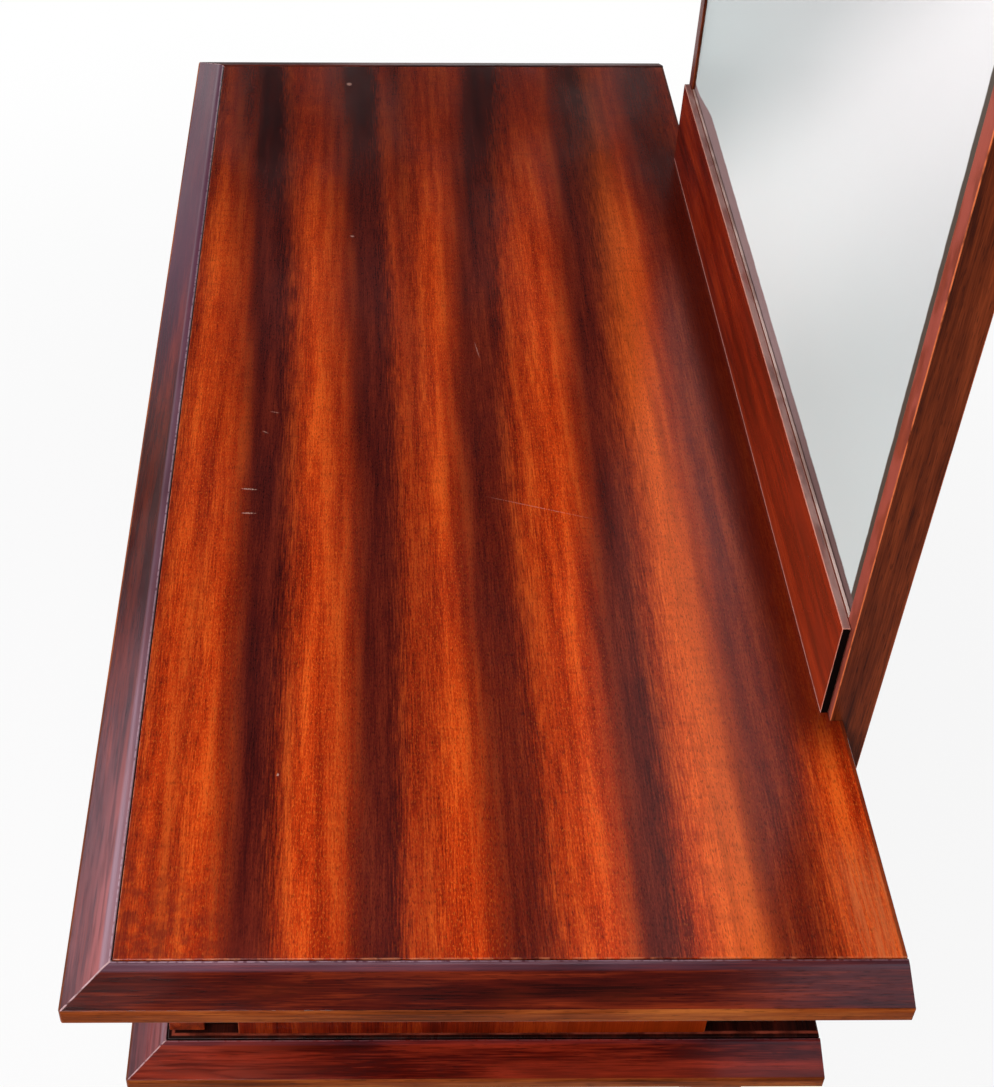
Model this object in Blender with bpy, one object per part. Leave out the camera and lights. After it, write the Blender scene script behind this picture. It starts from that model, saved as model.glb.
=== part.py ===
"""Dressing table with a fixed mirror.

A long veneered top with bevelled mouldings overhangs a case of three drawers. The case stands on a
second, shorter slab with the same mouldings, carried by a leg frame with brass feet. A framed mirror
stands behind the top, let into its back edge and screwed to the back of the case.

Metres, +Z up. The origin is on the floor under the middle of the table, the front faces -Y.
"""
import math

import bmesh
import bpy
from mathutils import Vector

# Clearances
FIT_GAP = 0.0003
RUN_CLEARANCE = 0.0005
SIDE_CLEARANCE = 0.0010
HEAD_CLEARANCE = 0.0060
BACK_CLEARANCE = 0.0060
FRONT_MARGIN = 0.0030
EASED_EDGE = 0.0006

# Top slab and lower slab
TABLE_HEIGHT = 0.720
TOP_LENGTH = 1.100
TOP_DEPTH = 0.468
SLAB_THICKNESS = 0.0205
TIER_DROP = 0.270
LOWER_END_INSET = 0.1145
LOWER_BACK_REACH = 0.0225

# Moulding round the front and both ends of each slab
MOULDING_WIDTH = 0.028
LIP_GROOVE = 0.0008
LIP_CREST = 0.0020
TOP_LIP_WIDTH = 0.0068
LOWER_LIP_WIDTH = 0.0046
LIP_DROP = 0.0026
SLOPE_DROP = 0.0097
EDGE_ROUND = 0.0028
ARC_STEPS = 4

# Drawer case
END_PANEL_SET_IN = 0.0035
END_PANEL_THICKNESS = 0.020
RECESS_SET_IN = 0.008
RECESS_DEPTH = 0.023
BACK_POST_DEPTH = 0.036
CASE_BACK_THICKNESS = 0.014
SHELF_THICKNESS = 0.014
DIVIDER_THICKNESS = 0.016
LOWER_DRAWER_OPENING = 0.132

# Drawers
FRONT_SET_BACK = 0.0003
FRONT_END_SET_IN = 0.0015
FRONT_THICKNESS = 0.026
FRONT_BEVEL = 0.009
FRONT_BEVEL_DROP = 0.0012
DRAWER_SIDE_THICKNESS = 0.012
DRAWER_BACK_THICKNESS = 0.010
DRAWER_BOTTOM_THICKNESS = 0.005
BOTTOM_GROOVE_HEIGHT = 0.008
BOTTOM_GROOVE_DEPTH = 0.005

# Brass knobs
KNOB_SPREAD = 0.380
KNOB_FOOT_RADIUS = 0.0075
KNOB_FOOT_HEIGHT = 0.0025
KNOB_FLARE = 0.0025
KNOB_NECK_RADIUS = 0.0045
KNOB_HEAD_RADIUS = 0.0120
KNOB_REACH = 0.022
KNOB_HEAD_HEIGHT = 0.010
CROWN_STEPS = 8
ROUND_SIDES = 28

# Mirror
MIRROR_WIDTH = 0.695
MIRROR_RISE = 0.830
STILE_WIDTH = 0.015
STILE_DEPTH = 0.026
STILE_NOTCH = 0.008
MIRROR_LIP = 0.0025
MIRROR_REBATE = 0.007
GLASS_THICKNESS = 0.005
BACKING_THICKNESS = 0.004
LEDGE_HEIGHT = 0.0755
FOOT_BOARD_THICKNESS = 0.0051
FOOT_BOARD_END_INSET = 0.0055

# Screws that hold the mirror to the back of the case
SCREW_RADIUS = 0.0018
SCREW_HEAD_RADIUS = 0.0038
SCREW_HEAD_HEIGHT = 0.0026
SCREW_BITE = 0.011
SCREW_END_DISTANCE = 0.060

# Leg frame
BASE_INSET = 0.040
LEG_WIDTH = 0.038
FOOT_WIDTH = 0.023
LEG_STRAIGHT = 0.062
RAIL_HEIGHT = 0.055
RAIL_THICKNESS = 0.020
RAIL_SET_BACK = 0.005
FERRULE_HEIGHT = 0.048
FERRULE_WALL = 0.0012
FERRULE_FLOOR = 0.003

# Colour, roughness and metallic value of each finish
FINISHES = {
    "figured_veneer": ((0.44, 0.10, 0.025, 1.0), 0.22, 0.0),
    "mahogany": ((0.17, 0.035, 0.020, 1.0), 0.28, 0.0),
    "orange_veneer": ((0.36, 0.10, 0.025, 1.0), 0.28, 0.0),
    "dark_stain": ((0.045, 0.014, 0.010, 1.0), 0.40, 0.0),
    "drawer_wood": ((0.50, 0.33, 0.18, 1.0), 0.55, 0.0),
    "plywood": ((0.46, 0.31, 0.17, 1.0), 0.60, 0.0),
    "silvered_glass": ((0.80, 0.82, 0.82, 1.0), 0.03, 1.0),
    "brass": ((0.62, 0.44, 0.17, 1.0), 0.25, 1.0),
    "steel": ((0.45, 0.44, 0.42, 1.0), 0.35, 1.0),
}

# Levels and planes that the pieces share
TOP_UNDERSIDE = TABLE_HEIGHT - SLAB_THICKNESS
LOWER_TOP = TABLE_HEIGHT - TIER_DROP
LOWER_UNDERSIDE = LOWER_TOP - SLAB_THICKNESS
LOWER_LENGTH = TOP_LENGTH - 2 * LOWER_END_INSET
FRONT_EDGE = -(TOP_DEPTH + LOWER_BACK_REACH) / 2
TOP_BACK_EDGE = FRONT_EDGE + TOP_DEPTH
LOWER_BACK_EDGE = TOP_BACK_EDGE + LOWER_BACK_REACH

CASE_FLOOR = LOWER_TOP + FIT_GAP
CASE_CEILING = TOP_UNDERSIDE - FIT_GAP
CASE_HALF = LOWER_LENGTH / 2 - MOULDING_WIDTH - END_PANEL_SET_IN
CASE_INNER = CASE_HALF - END_PANEL_THICKNESS
FRONT_FACE = FRONT_EDGE + MOULDING_WIDTH + FRONT_SET_BACK
CASE_FRONT = FRONT_FACE + FRONT_THICKNESS + RUN_CLEARANCE
STILE_FRONT = TOP_BACK_EDGE - STILE_NOTCH
STILE_BACK = STILE_FRONT + STILE_DEPTH
CASE_BACK = STILE_FRONT - FIT_GAP
CASE_BACK_INSIDE = CASE_BACK - CASE_BACK_THICKNESS
SHELF_BOTTOM = CASE_FLOOR + LOWER_DRAWER_OPENING
SHELF_TOP = SHELF_BOTTOM + SHELF_THICKNESS

MIRROR_HALF = MIRROR_WIDTH / 2
MIRROR_TOP = TABLE_HEIGHT + MIRROR_RISE
MIRROR_FOOT = TABLE_HEIGHT + FIT_GAP
REBATE_FRONT = STILE_FRONT + MIRROR_LIP
REBATE_FLOOR = MIRROR_FOOT + LEDGE_HEIGHT - MIRROR_REBATE
GLASS_HALF = MIRROR_HALF - STILE_WIDTH + MIRROR_REBATE - FIT_GAP
GLASS_BOTTOM = REBATE_FLOOR + FIT_GAP
GLASS_TOP = MIRROR_TOP - STILE_WIDTH + MIRROR_REBATE - FIT_GAP
GLASS_FRONT = REBATE_FRONT + FIT_GAP
MITRE_SHIFT = FIT_GAP / math.sqrt(2)


def clear_scene():
    """Empty the scene."""
    for item in list(bpy.data.objects):
        bpy.data.objects.remove(item)


def finish_for(name, finish):
    """A material for one piece, with its finish's colour and gloss."""
    colour, roughness, metallic = FINISHES[finish]
    material = bpy.data.materials.new(name + "_" + finish)
    material.use_nodes = True
    material.diffuse_color = colour
    shader = material.node_tree.nodes["Principled BSDF"]
    shader.inputs["Base Color"].default_value = colour
    shader.inputs["Roughness"].default_value = roughness
    shader.inputs["Metallic"].default_value = metallic
    return material


def add_piece(name, shape, finish, place, parent=None):
    """Put a finished bmesh in the scene as one named piece, with its origin at a place in the world."""
    bmesh.ops.recalc_face_normals(shape, faces=shape.faces)
    mesh = bpy.data.meshes.new(name)
    shape.to_mesh(mesh)
    shape.free()
    piece = bpy.data.objects.new(name, mesh)
    bpy.context.scene.collection.objects.link(piece)
    piece.location = Vector(place)
    if parent is not None:
        piece.parent = parent
        piece.location = Vector(place) - parent.location
    if finish is not None:
        mesh.materials.append(finish_for(name, finish))
    return piece


def loft(rings):
    """A closed shape through rings of points, with flat caps on the first and the last ring."""
    shape = bmesh.new()
    loops = [[shape.verts.new(point) for point in ring] for ring in rings]
    for low, high in zip(loops, loops[1:]):
        for i, corner in enumerate(low):
            j = (i + 1) % len(low)
            shape.faces.new((corner, low[j], high[j], high[i]))
    shape.faces.new(loops[0])
    shape.faces.new(loops[-1])
    return shape


def rectangle(low, high):
    """The corners of a rectangle in a plane, from its lowest to its highest corner and round."""
    return [(low[0], low[1]), (high[0], low[1]), (high[0], high[1]), (low[0], high[1])]


def ease_edges(piece):
    """Take the sharpness off a piece's edges."""
    bevel = piece.modifiers.new("eased edges", "BEVEL")
    bevel.width = EASED_EDGE
    bevel.segments = 1
    bevel.limit_method = "ANGLE"


def board(name, low, high, finish, parent=None):
    """A flat board between two corners, with eased edges."""
    middle = (Vector(low) + Vector(high)) / 2
    reach = Vector(high) - middle
    outline = rectangle((-reach.x, -reach.y), (reach.x, reach.y))
    rings = [[(x, y, z) for x, y in outline] for z in (-reach.z, reach.z)]
    piece = add_piece(name, loft(rings), finish, middle, parent)
    ease_edges(piece)
    return piece


def turned(profile):
    """A shape turned about the local Y axis, from (radius, distance along the axis) pairs."""
    shape = bmesh.new()
    points = [shape.verts.new((radius, along, 0)) for radius, along in profile]
    edges = [shape.edges.new(pair) for pair in zip(points, points[1:])]
    bmesh.ops.spin(shape, geom=points + edges, axis=(0, 1, 0), cent=(0, 0, 0),
                   steps=ROUND_SIDES, angle=math.tau, use_merge=True)
    bmesh.ops.remove_doubles(shape, verts=shape.verts, dist=FIT_GAP / 100)
    return shape


def shade_round(piece):
    """Shade a turned piece smooth, with its crisp corners kept."""
    piece.data.shade_smooth()
    piece.data.set_sharp_from_angle(angle=math.radians(40))


def cut(piece, cutter):
    """Cut one closed shape out of a piece and keep the cutter as a hidden guide."""
    cutter.hide_render = True
    cutter.display_type = "WIRE"
    boolean = piece.modifiers.new("cut by " + cutter.name, "BOOLEAN")
    boolean.operation = "DIFFERENCE"
    boolean.object = cutter


def arc(centre, radius, start, end):
    """Points of an arc in the moulding's section, from one angle to another in degrees."""
    angles = [math.radians(start + (end - start) * i / ARC_STEPS) for i in range(ARC_STEPS + 1)]
    return [(centre[0] + radius * math.cos(a), centre[1] + radius * math.sin(a)) for a in angles]


def moulding_section(lip_width):
    """Section of a slab's moulding: distance out from the panel, height from the slab's surface.

    A round lip stands beside the panel, a flat slope falls away from it, and the edge is rounded.
    """
    lip_run = lip_width - LIP_CREST
    lip_radius = (lip_run ** 2 + LIP_DROP ** 2) / (2 * LIP_DROP)
    lip_turn = math.degrees(2 * math.atan2(LIP_DROP, lip_run))
    slope = math.degrees(math.atan2(SLOPE_DROP - LIP_DROP, MOULDING_WIDTH - lip_width))
    edge_round = min(EDGE_ROUND, (SLAB_THICKNESS - SLOPE_DROP) / 3)
    corner = edge_round * math.tan(math.radians(90 - slope) / 2)
    edge = MOULDING_WIDTH - edge_round
    section = [(FIT_GAP, -SLAB_THICKNESS), (FIT_GAP, -LIP_GROOVE)]
    section += arc((LIP_CREST, -lip_radius), lip_radius, 90, 90 - lip_turn)
    section += arc((edge, -SLOPE_DROP - corner), edge_round, 90 - slope, 0)
    section += arc((edge, edge_round - SLAB_THICKNESS), edge_round, 0, -90)
    return section


def front_moulding(name, section, half_length, front, surface):
    """The moulding along a slab's front, mitred at both ends where its panel's corners are."""
    rings = [[(side * (half_length + out - MITRE_SHIFT), -out, height) for out, height in section]
             for side in (-1, 1)]
    add_piece(name, loft(rings), "mahogany", (0, front, surface))


def end_moulding(name, side, section, half_length, front, back, surface):
    """The moulding along one end of a slab, mitred at the front and cut square at the back."""
    mitre = [(side * out, MITRE_SHIFT - out, height) for out, height in section]
    square = [(side * out, back - front, height) for out, height in section]
    add_piece(name, loft([mitre, square]), "mahogany", (side * half_length, front, surface))


def slab_mouldings(prefix, lip_width, length, back, surface):
    """The three mouldings round one slab."""
    section = moulding_section(lip_width)
    half_length = length / 2 - MOULDING_WIDTH
    front = FRONT_EDGE + MOULDING_WIDTH
    front_moulding(prefix + "_front_moulding", section, half_length, front, surface)
    for side, word in ((-1, "left"), (1, "right")):
        end_moulding(prefix + "_" + word + "_moulding", side, section, half_length, front, back, surface)


def top_slab():
    """The veneered top, notched at the back for the mirror's stiles, and its mouldings."""
    half_length = TOP_LENGTH / 2 - MOULDING_WIDTH
    front = FRONT_EDGE + MOULDING_WIDTH
    notch_outer = MIRROR_HALF + FIT_GAP
    notch_inner = MIRROR_HALF - STILE_WIDTH - FIT_GAP
    notch_front = STILE_FRONT - FIT_GAP
    right_back = [
        (half_length, TOP_BACK_EDGE),
        (notch_outer, TOP_BACK_EDGE),
        (notch_outer, notch_front),
        (notch_inner, notch_front),
        (notch_inner, TOP_BACK_EDGE),
    ]
    left_back = [(-x, y) for x, y in reversed(right_back)]
    outline = [(-half_length, front), (half_length, front)] + right_back + left_back
    rings = [[(x, y, z) for x, y in outline] for z in (-SLAB_THICKNESS, 0)]
    add_piece("top_panel", loft(rings), "figured_veneer", (0, 0, TABLE_HEIGHT))
    slab_mouldings("top", TOP_LIP_WIDTH, TOP_LENGTH, TOP_BACK_EDGE, TABLE_HEIGHT)


def lower_slab():
    """The shorter slab that carries the drawer case, and its mouldings."""
    half_length = LOWER_LENGTH / 2 - MOULDING_WIDTH
    board("lower_panel", (-half_length, FRONT_EDGE + MOULDING_WIDTH, LOWER_UNDERSIDE),
          (half_length, LOWER_BACK_EDGE, LOWER_TOP), "dark_stain")
    slab_mouldings("lower", LOWER_LIP_WIDTH, LOWER_LENGTH, LOWER_BACK_EDGE, LOWER_TOP)


def sided(side, inner, outer):
    """The low and high X of a piece that lies between two distances from the middle, on one side."""
    return sorted((side * inner, side * outer))


def case():
    """End panels with set-in dark stiles and posts, the back, and the boards between the drawers."""
    recess_back = CASE_FRONT + RECESS_DEPTH
    post_back = CASE_BACK_INSIDE - FIT_GAP
    post_front = post_back - BACK_POST_DEPTH
    for side, word in ((-1, "left"), (1, "right")):
        low, high = sided(side, CASE_INNER, CASE_HALF)
        board("end_panel_" + word, (low, recess_back + FIT_GAP, CASE_FLOOR),
              (high, post_front - FIT_GAP, CASE_CEILING), "orange_veneer")
        low, high = sided(side, CASE_INNER, CASE_HALF - RECESS_SET_IN)
        board("front_stile_" + word, (low, CASE_FRONT, CASE_FLOOR),
              (high, recess_back, CASE_CEILING), "dark_stain")
        board("back_post_" + word, (low, post_front, CASE_FLOOR),
              (high, post_back, CASE_CEILING), "dark_stain")
    back_half = CASE_HALF - RECESS_SET_IN
    back = board("case_back", (-back_half, CASE_BACK_INSIDE, CASE_FLOOR),
                 (back_half, CASE_BACK, CASE_CEILING), "dark_stain")
    inside = CASE_INNER - FIT_GAP
    shelf_back = CASE_BACK_INSIDE - FIT_GAP
    board("drawer_shelf", (-inside, CASE_FRONT, SHELF_BOTTOM),
          (inside, shelf_back, SHELF_TOP), "drawer_wood")
    board("drawer_divider", (-DIVIDER_THICKNESS / 2, CASE_FRONT, SHELF_TOP + FIT_GAP),
          (DIVIDER_THICKNESS / 2, shelf_back, CASE_CEILING), "drawer_wood")
    return back


def drawer_front(name, low, high, parent):
    """A drawer front with a bevelled border, from its lowest to its highest corner across the table."""
    middle = ((low[0] + high[0]) / 2, FRONT_FACE, (low[1] + high[1]) / 2)
    half = ((high[0] - low[0]) / 2, (high[1] - low[1]) / 2)
    steps = ((FRONT_THICKNESS, 0), (FRONT_BEVEL_DROP, 0), (0, FRONT_BEVEL))
    rings = []
    for depth, inset in steps:
        outline = rectangle((inset - half[0], inset - half[1]), (half[0] - inset, half[1] - inset))
        rings.append([(x, depth, z) for x, z in outline])
    add_piece(name, loft(rings), "orange_veneer", middle, parent)


def drawer_side(name, side, outer, bottom, top, reach, parent):
    """A drawer side with a groove near its lower edge for the drawer's bottom."""
    front, back = reach
    inner = -DRAWER_SIDE_THICKNESS
    groove_low = BOTTOM_GROOVE_HEIGHT
    groove_high = groove_low + DRAWER_BOTTOM_THICKNESS + 2 * FIT_GAP
    groove_floor = inner + BOTTOM_GROOVE_DEPTH
    height = top - bottom
    section = [
        (0, 0),
        (0, height),
        (inner, height),
        (inner, groove_high),
        (groove_floor, groove_high),
        (groove_floor, groove_low),
        (inner, groove_low),
        (inner, 0),
    ]
    rings = [[(side * x, y, z) for x, z in section] for y in (0, back - front)]
    add_piece(name, loft(rings), "drawer_wood", (outer, front, bottom), parent)


def knob(name, x, z, parent):
    """A turned brass knob on a drawer front, facing -Y."""
    head_base = KNOB_REACH - KNOB_HEAD_HEIGHT
    crown_base = head_base + KNOB_FLARE
    profile = [(0, 0), (KNOB_FOOT_RADIUS, 0), (KNOB_FOOT_RADIUS, -KNOB_FOOT_HEIGHT)]
    profile += [(KNOB_NECK_RADIUS, -KNOB_FOOT_HEIGHT - KNOB_FLARE), (KNOB_NECK_RADIUS, -head_base)]
    for i in range(CROWN_STEPS):
        angle = math.radians(90 * i / CROWN_STEPS)
        rise = (KNOB_REACH - crown_base) * math.sin(angle)
        profile.append((KNOB_HEAD_RADIUS * math.cos(angle), -crown_base - rise))
    profile.append((0, -KNOB_REACH))
    piece = add_piece(name, turned(profile), "brass", (x, FRONT_FACE - FIT_GAP, z), parent)
    shade_round(piece)


def drawer(name, opening, front_low, front_high, knob_places):
    """One drawer: its front, sides, back and bottom, and its knobs, under an empty on its slide line.

    opening is the space it runs in, as the low and high corners (x, z) seen from the front.
    """
    (left, floor), (right, ceiling) = opening
    slide = bpy.data.objects.new(name + "_slide", None)
    bpy.context.scene.collection.objects.link(slide)
    slide.location = ((left + right) / 2, CASE_FRONT, (floor + ceiling) / 2)

    drawer_front(name + "_front", front_low, front_high, slide)
    bottom = floor + RUN_CLEARANCE
    top = ceiling - HEAD_CLEARANCE
    box_front = FRONT_FACE + FRONT_THICKNESS + FIT_GAP
    box_back = CASE_BACK_INSIDE - BACK_CLEARANCE
    box_left = left + SIDE_CLEARANCE
    box_right = right - SIDE_CLEARANCE
    drawer_side(name + "_left_side", -1, box_left, bottom, top, (box_front, box_back), slide)
    drawer_side(name + "_right_side", 1, box_right, bottom, top, (box_front, box_back), slide)

    tongue = BOTTOM_GROOVE_DEPTH - FIT_GAP
    inner_left = box_left + DRAWER_SIDE_THICKNESS
    inner_right = box_right - DRAWER_SIDE_THICKNESS
    bottom_low = bottom + BOTTOM_GROOVE_HEIGHT + FIT_GAP
    bottom_high = bottom_low + DRAWER_BOTTOM_THICKNESS
    board(name + "_bottom", (inner_left - tongue, box_front, bottom_low),
          (inner_right + tongue, box_back, bottom_high), "plywood", slide)
    board(name + "_back", (inner_left + FIT_GAP, box_back - DRAWER_BACK_THICKNESS, bottom_high + FIT_GAP),
          (inner_right - FIT_GAP, box_back, top), "drawer_wood", slide)
    knob_height = (front_low[1] + front_high[1]) / 2
    for word, x in knob_places:
        knob(name + word, x, knob_height, slide)


def drawers():
    """Two small drawers side by side over one long drawer."""
    front_half = CASE_HALF - FRONT_END_SET_IN
    seam = (SHELF_BOTTOM + SHELF_TOP) / 2
    seam_gap = FRONT_MARGIN / 2
    drawer("long_drawer", ((-CASE_INNER, LOWER_TOP), (CASE_INNER, SHELF_BOTTOM)),
           (-front_half, CASE_FLOOR + FRONT_MARGIN), (front_half, seam - seam_gap),
           (("_left_knob", -KNOB_SPREAD / 2), ("_right_knob", KNOB_SPREAD / 2)))
    half_divider = DIVIDER_THICKNESS / 2
    for side, word in ((-1, "left"), (1, "right")):
        low, high = sided(side, half_divider, CASE_INNER)
        front_low, front_high = sided(side, seam_gap, front_half)
        drawer(word + "_drawer", ((low, SHELF_TOP), (high, CASE_CEILING)),
               (front_low, seam + seam_gap), (front_high, CASE_CEILING - FRONT_MARGIN),
               (("_knob", (front_low + front_high) / 2),))


def screw_shape(grown):
    """A countersunk screw along local Y, head at the origin and point inwards, grown by a clearance."""
    length = STILE_DEPTH + FIT_GAP + SCREW_BITE
    profile = [
        (0, FIT_GAP + grown),
        (SCREW_HEAD_RADIUS + grown, FIT_GAP + grown),
        (SCREW_HEAD_RADIUS + grown, 0),
        (SCREW_RADIUS + grown, -SCREW_HEAD_HEIGHT),
        (SCREW_RADIUS + grown, -length - grown),
        (0, -length - grown),
    ]
    return turned(profile)


def mirror_stile(name, side):
    """A side post of the mirror frame, mitred at its top and rebated behind its lip for the glass."""
    foot = LOWER_TOP + FIT_GAP
    outline = rectangle((-STILE_WIDTH, 0), (0, STILE_DEPTH))
    low = [(side * x, y, 0) for x, y in outline]
    high = [(side * x, y, MIRROR_TOP - foot + x - MITRE_SHIFT) for x, y in outline]
    stile = add_piece(name, loft([low, high]), "mahogany", (side * MIRROR_HALF, STILE_FRONT, foot))
    reach = STILE_DEPTH
    low_x, high_x = sided(side, MIRROR_HALF - STILE_WIDTH - reach, MIRROR_HALF - STILE_WIDTH + MIRROR_REBATE)
    outline = rectangle((low_x, REBATE_FRONT), (high_x, STILE_BACK + reach))
    rings = [[(x, y, z) for x, y in outline] for z in (REBATE_FLOOR, MIRROR_TOP + reach)]
    cut(stile, add_piece(name + "_rebate", loft(rings), None, (0, 0, 0)))
    return stile


def mirror_top_rail():
    """The top of the mirror frame, mitred into both stiles, rebated below for the glass."""
    rebate = STILE_WIDTH - MIRROR_REBATE
    section = [
        (0, 0),
        (STILE_DEPTH, 0),
        (STILE_DEPTH, -rebate),
        (MIRROR_LIP, -rebate),
        (MIRROR_LIP, -STILE_WIDTH),
        (0, -STILE_WIDTH),
    ]
    rings = [[(side * (MIRROR_HALF + z - MITRE_SHIFT), y, z) for y, z in section] for side in (-1, 1)]
    add_piece("mirror_top_rail", loft(rings), "mahogany", (0, STILE_FRONT, MIRROR_TOP))


def mirror_bottom_rail():
    """The rail that the glass stands on, between the stiles, with its lip level with the foot board."""
    half = MIRROR_HALF - STILE_WIDTH - FIT_GAP
    seat = LEDGE_HEIGHT - MIRROR_REBATE
    section = [
        (0, 0),
        (STILE_DEPTH, 0),
        (STILE_DEPTH, seat),
        (MIRROR_LIP, seat),
        (MIRROR_LIP, LEDGE_HEIGHT),
        (0, LEDGE_HEIGHT),
    ]
    rings = [[(x, y, z) for y, z in section] for x in (-half, half)]
    add_piece("mirror_bottom_rail", loft(rings), "mahogany", (0, STILE_FRONT, MIRROR_FOOT))


def mirror(case_back):
    """The fixed mirror: frame, glass, backing, the board along its foot, and its four screws."""
    stiles = {side: mirror_stile("mirror_stile_" + word, side) for side, word in ((-1, "left"), (1, "right"))}
    mirror_top_rail()
    mirror_bottom_rail()
    board("mirror_glass", (-GLASS_HALF, GLASS_FRONT, GLASS_BOTTOM),
          (GLASS_HALF, GLASS_FRONT + GLASS_THICKNESS, GLASS_TOP), "silvered_glass")
    backing_front = GLASS_FRONT + GLASS_THICKNESS + FIT_GAP
    board("mirror_backing", (-GLASS_HALF, backing_front, GLASS_BOTTOM),
          (GLASS_HALF, backing_front + BACKING_THICKNESS, GLASS_TOP), "plywood")
    board_half = MIRROR_HALF - FOOT_BOARD_END_INSET
    board("mirror_foot_board", (-board_half, CASE_BACK - FOOT_BOARD_THICKNESS, MIRROR_FOOT),
          (board_half, CASE_BACK, MIRROR_FOOT + LEDGE_HEIGHT), "mahogany")
    levels = (("lower", CASE_FLOOR + SCREW_END_DISTANCE), ("upper", CASE_CEILING - SCREW_END_DISTANCE))
    for side, word in ((-1, "left"), (1, "right")):
        for level, z in levels:
            name = "mirror_screw_" + level + "_" + word
            place = (side * (MIRROR_HALF - STILE_WIDTH / 2), STILE_BACK - FIT_GAP, z)
            screw = add_piece(name, screw_shape(0), "steel", place)
            shade_round(screw)
            hole = add_piece(name + "_hole", screw_shape(FIT_GAP), None, place)
            cut(stiles[side], hole)
            cut(case_back, hole)


def square_ring(corner, toward, width, z, grown=0.0):
    """A square ring at a level, from an outer corner inwards, grown outwards all round by a margin."""
    low = [corner[i] - toward[i] * grown for i in (0, 1)]
    high = [corner[i] + toward[i] * (width + grown) for i in (0, 1)]
    return [(x, y, z) for x, y in rectangle(low, high)]


def leg(name, corner, toward):
    """A leg: straight where the rails meet it, then tapered on its two inner faces to the foot."""
    top = LOWER_UNDERSIDE - FIT_GAP
    shoulder = top - LEG_STRAIGHT
    foot = FERRULE_FLOOR + FIT_GAP
    levels = ((foot, leg_width_at(foot)), (shoulder, LEG_WIDTH), (top, LEG_WIDTH))
    rings = [square_ring((0, 0), toward, width, z) for z, width in levels]
    piece = add_piece("leg_" + name, loft(rings), "mahogany", (*corner, 0))
    ease_edges(piece)


def leg_width_at(z):
    """Width of a leg's tapered part at a height above the floor."""
    shoulder = LOWER_UNDERSIDE - FIT_GAP - LEG_STRAIGHT
    return FOOT_WIDTH + (LEG_WIDTH - FOOT_WIDTH) * z / shoulder


def ferrule(name, corner, toward):
    """A brass cup round the end of a leg."""
    outside = FIT_GAP + FERRULE_WALL
    rings = [
        square_ring((0, 0), toward, leg_width_at(0), 0, outside),
        square_ring((0, 0), toward, leg_width_at(FERRULE_HEIGHT), FERRULE_HEIGHT, outside),
        square_ring((0, 0), toward, leg_width_at(FERRULE_HEIGHT), FERRULE_HEIGHT, FIT_GAP),
        square_ring((0, 0), toward, leg_width_at(FERRULE_FLOOR), FERRULE_FLOOR, FIT_GAP),
    ]
    add_piece("ferrule_" + name, loft(rings), "brass", (*corner, 0))


def leg_frame():
    """Four legs with brass feet, and the rails between them under the lower slab."""
    end = LOWER_LENGTH / 2 - BASE_INSET
    front = FRONT_EDGE + BASE_INSET
    back = LOWER_BACK_EDGE - BASE_INSET
    for x_side, x_word in ((-1, "left"), (1, "right")):
        for y_edge, y_side, y_word in ((front, 1, "front"), (back, -1, "back")):
            name = y_word + "_" + x_word
            leg(name, (x_side * end, y_edge), (-x_side, y_side))
            ferrule(name, (x_side * end, y_edge), (-x_side, y_side))
    top = LOWER_UNDERSIDE - FIT_GAP
    low = top - RAIL_HEIGHT
    half = end - LEG_WIDTH - FIT_GAP
    rail_front = front + RAIL_SET_BACK
    rail_back = back - RAIL_SET_BACK
    board("front_rail", (-half, rail_front, low), (half, rail_front + RAIL_THICKNESS, top), "mahogany")
    board("back_rail", (-half, rail_back - RAIL_THICKNESS, low), (half, rail_back, top), "mahogany")
    for side, word in ((-1, "left"), (1, "right")):
        low_x, high_x = sided(side, end - RAIL_SET_BACK - RAIL_THICKNESS, end - RAIL_SET_BACK)
        board(word + "_rail", (low_x, front + LEG_WIDTH + FIT_GAP, low),
              (high_x, back - LEG_WIDTH - FIT_GAP, top), "mahogany")


def main():
    """Build the dressing table."""
    clear_scene()
    top_slab()
    lower_slab()
    case_back = case()
    drawers()
    mirror(case_back)
    leg_frame()


main()
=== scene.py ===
# %% [markdown]
# # A dressing table with a mirror
# A long veneered top with bevelled mouldings stands over a case of three drawers, and a framed mirror
# rises behind it. The solid pieces are already made at full size and in place, so they could be shown
# as they are. This lesson makes finer pieces on top of them instead: it eases their edges, gives each
# wood its own finish, and sets the camera and the light.

# %% Load the solid model
import math

import bmesh
import bpy
from mathutils import Matrix, Vector


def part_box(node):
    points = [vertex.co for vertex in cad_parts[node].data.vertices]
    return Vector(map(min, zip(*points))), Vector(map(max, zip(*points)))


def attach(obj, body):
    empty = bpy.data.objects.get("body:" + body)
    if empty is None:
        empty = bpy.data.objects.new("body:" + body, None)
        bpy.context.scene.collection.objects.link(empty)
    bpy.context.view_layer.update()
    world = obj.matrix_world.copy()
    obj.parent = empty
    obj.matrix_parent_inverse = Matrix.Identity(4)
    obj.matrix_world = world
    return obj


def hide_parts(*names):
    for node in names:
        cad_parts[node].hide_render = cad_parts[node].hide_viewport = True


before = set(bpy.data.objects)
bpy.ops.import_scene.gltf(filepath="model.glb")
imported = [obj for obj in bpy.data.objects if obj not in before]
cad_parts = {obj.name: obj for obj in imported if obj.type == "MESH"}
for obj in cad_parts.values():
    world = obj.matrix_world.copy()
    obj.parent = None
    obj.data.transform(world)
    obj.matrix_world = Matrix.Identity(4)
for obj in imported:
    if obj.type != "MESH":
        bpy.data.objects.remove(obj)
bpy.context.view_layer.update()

scene = bpy.context.scene
scene.view_settings.view_transform = "Standard"
print("solid pieces:", len(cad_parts))

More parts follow.
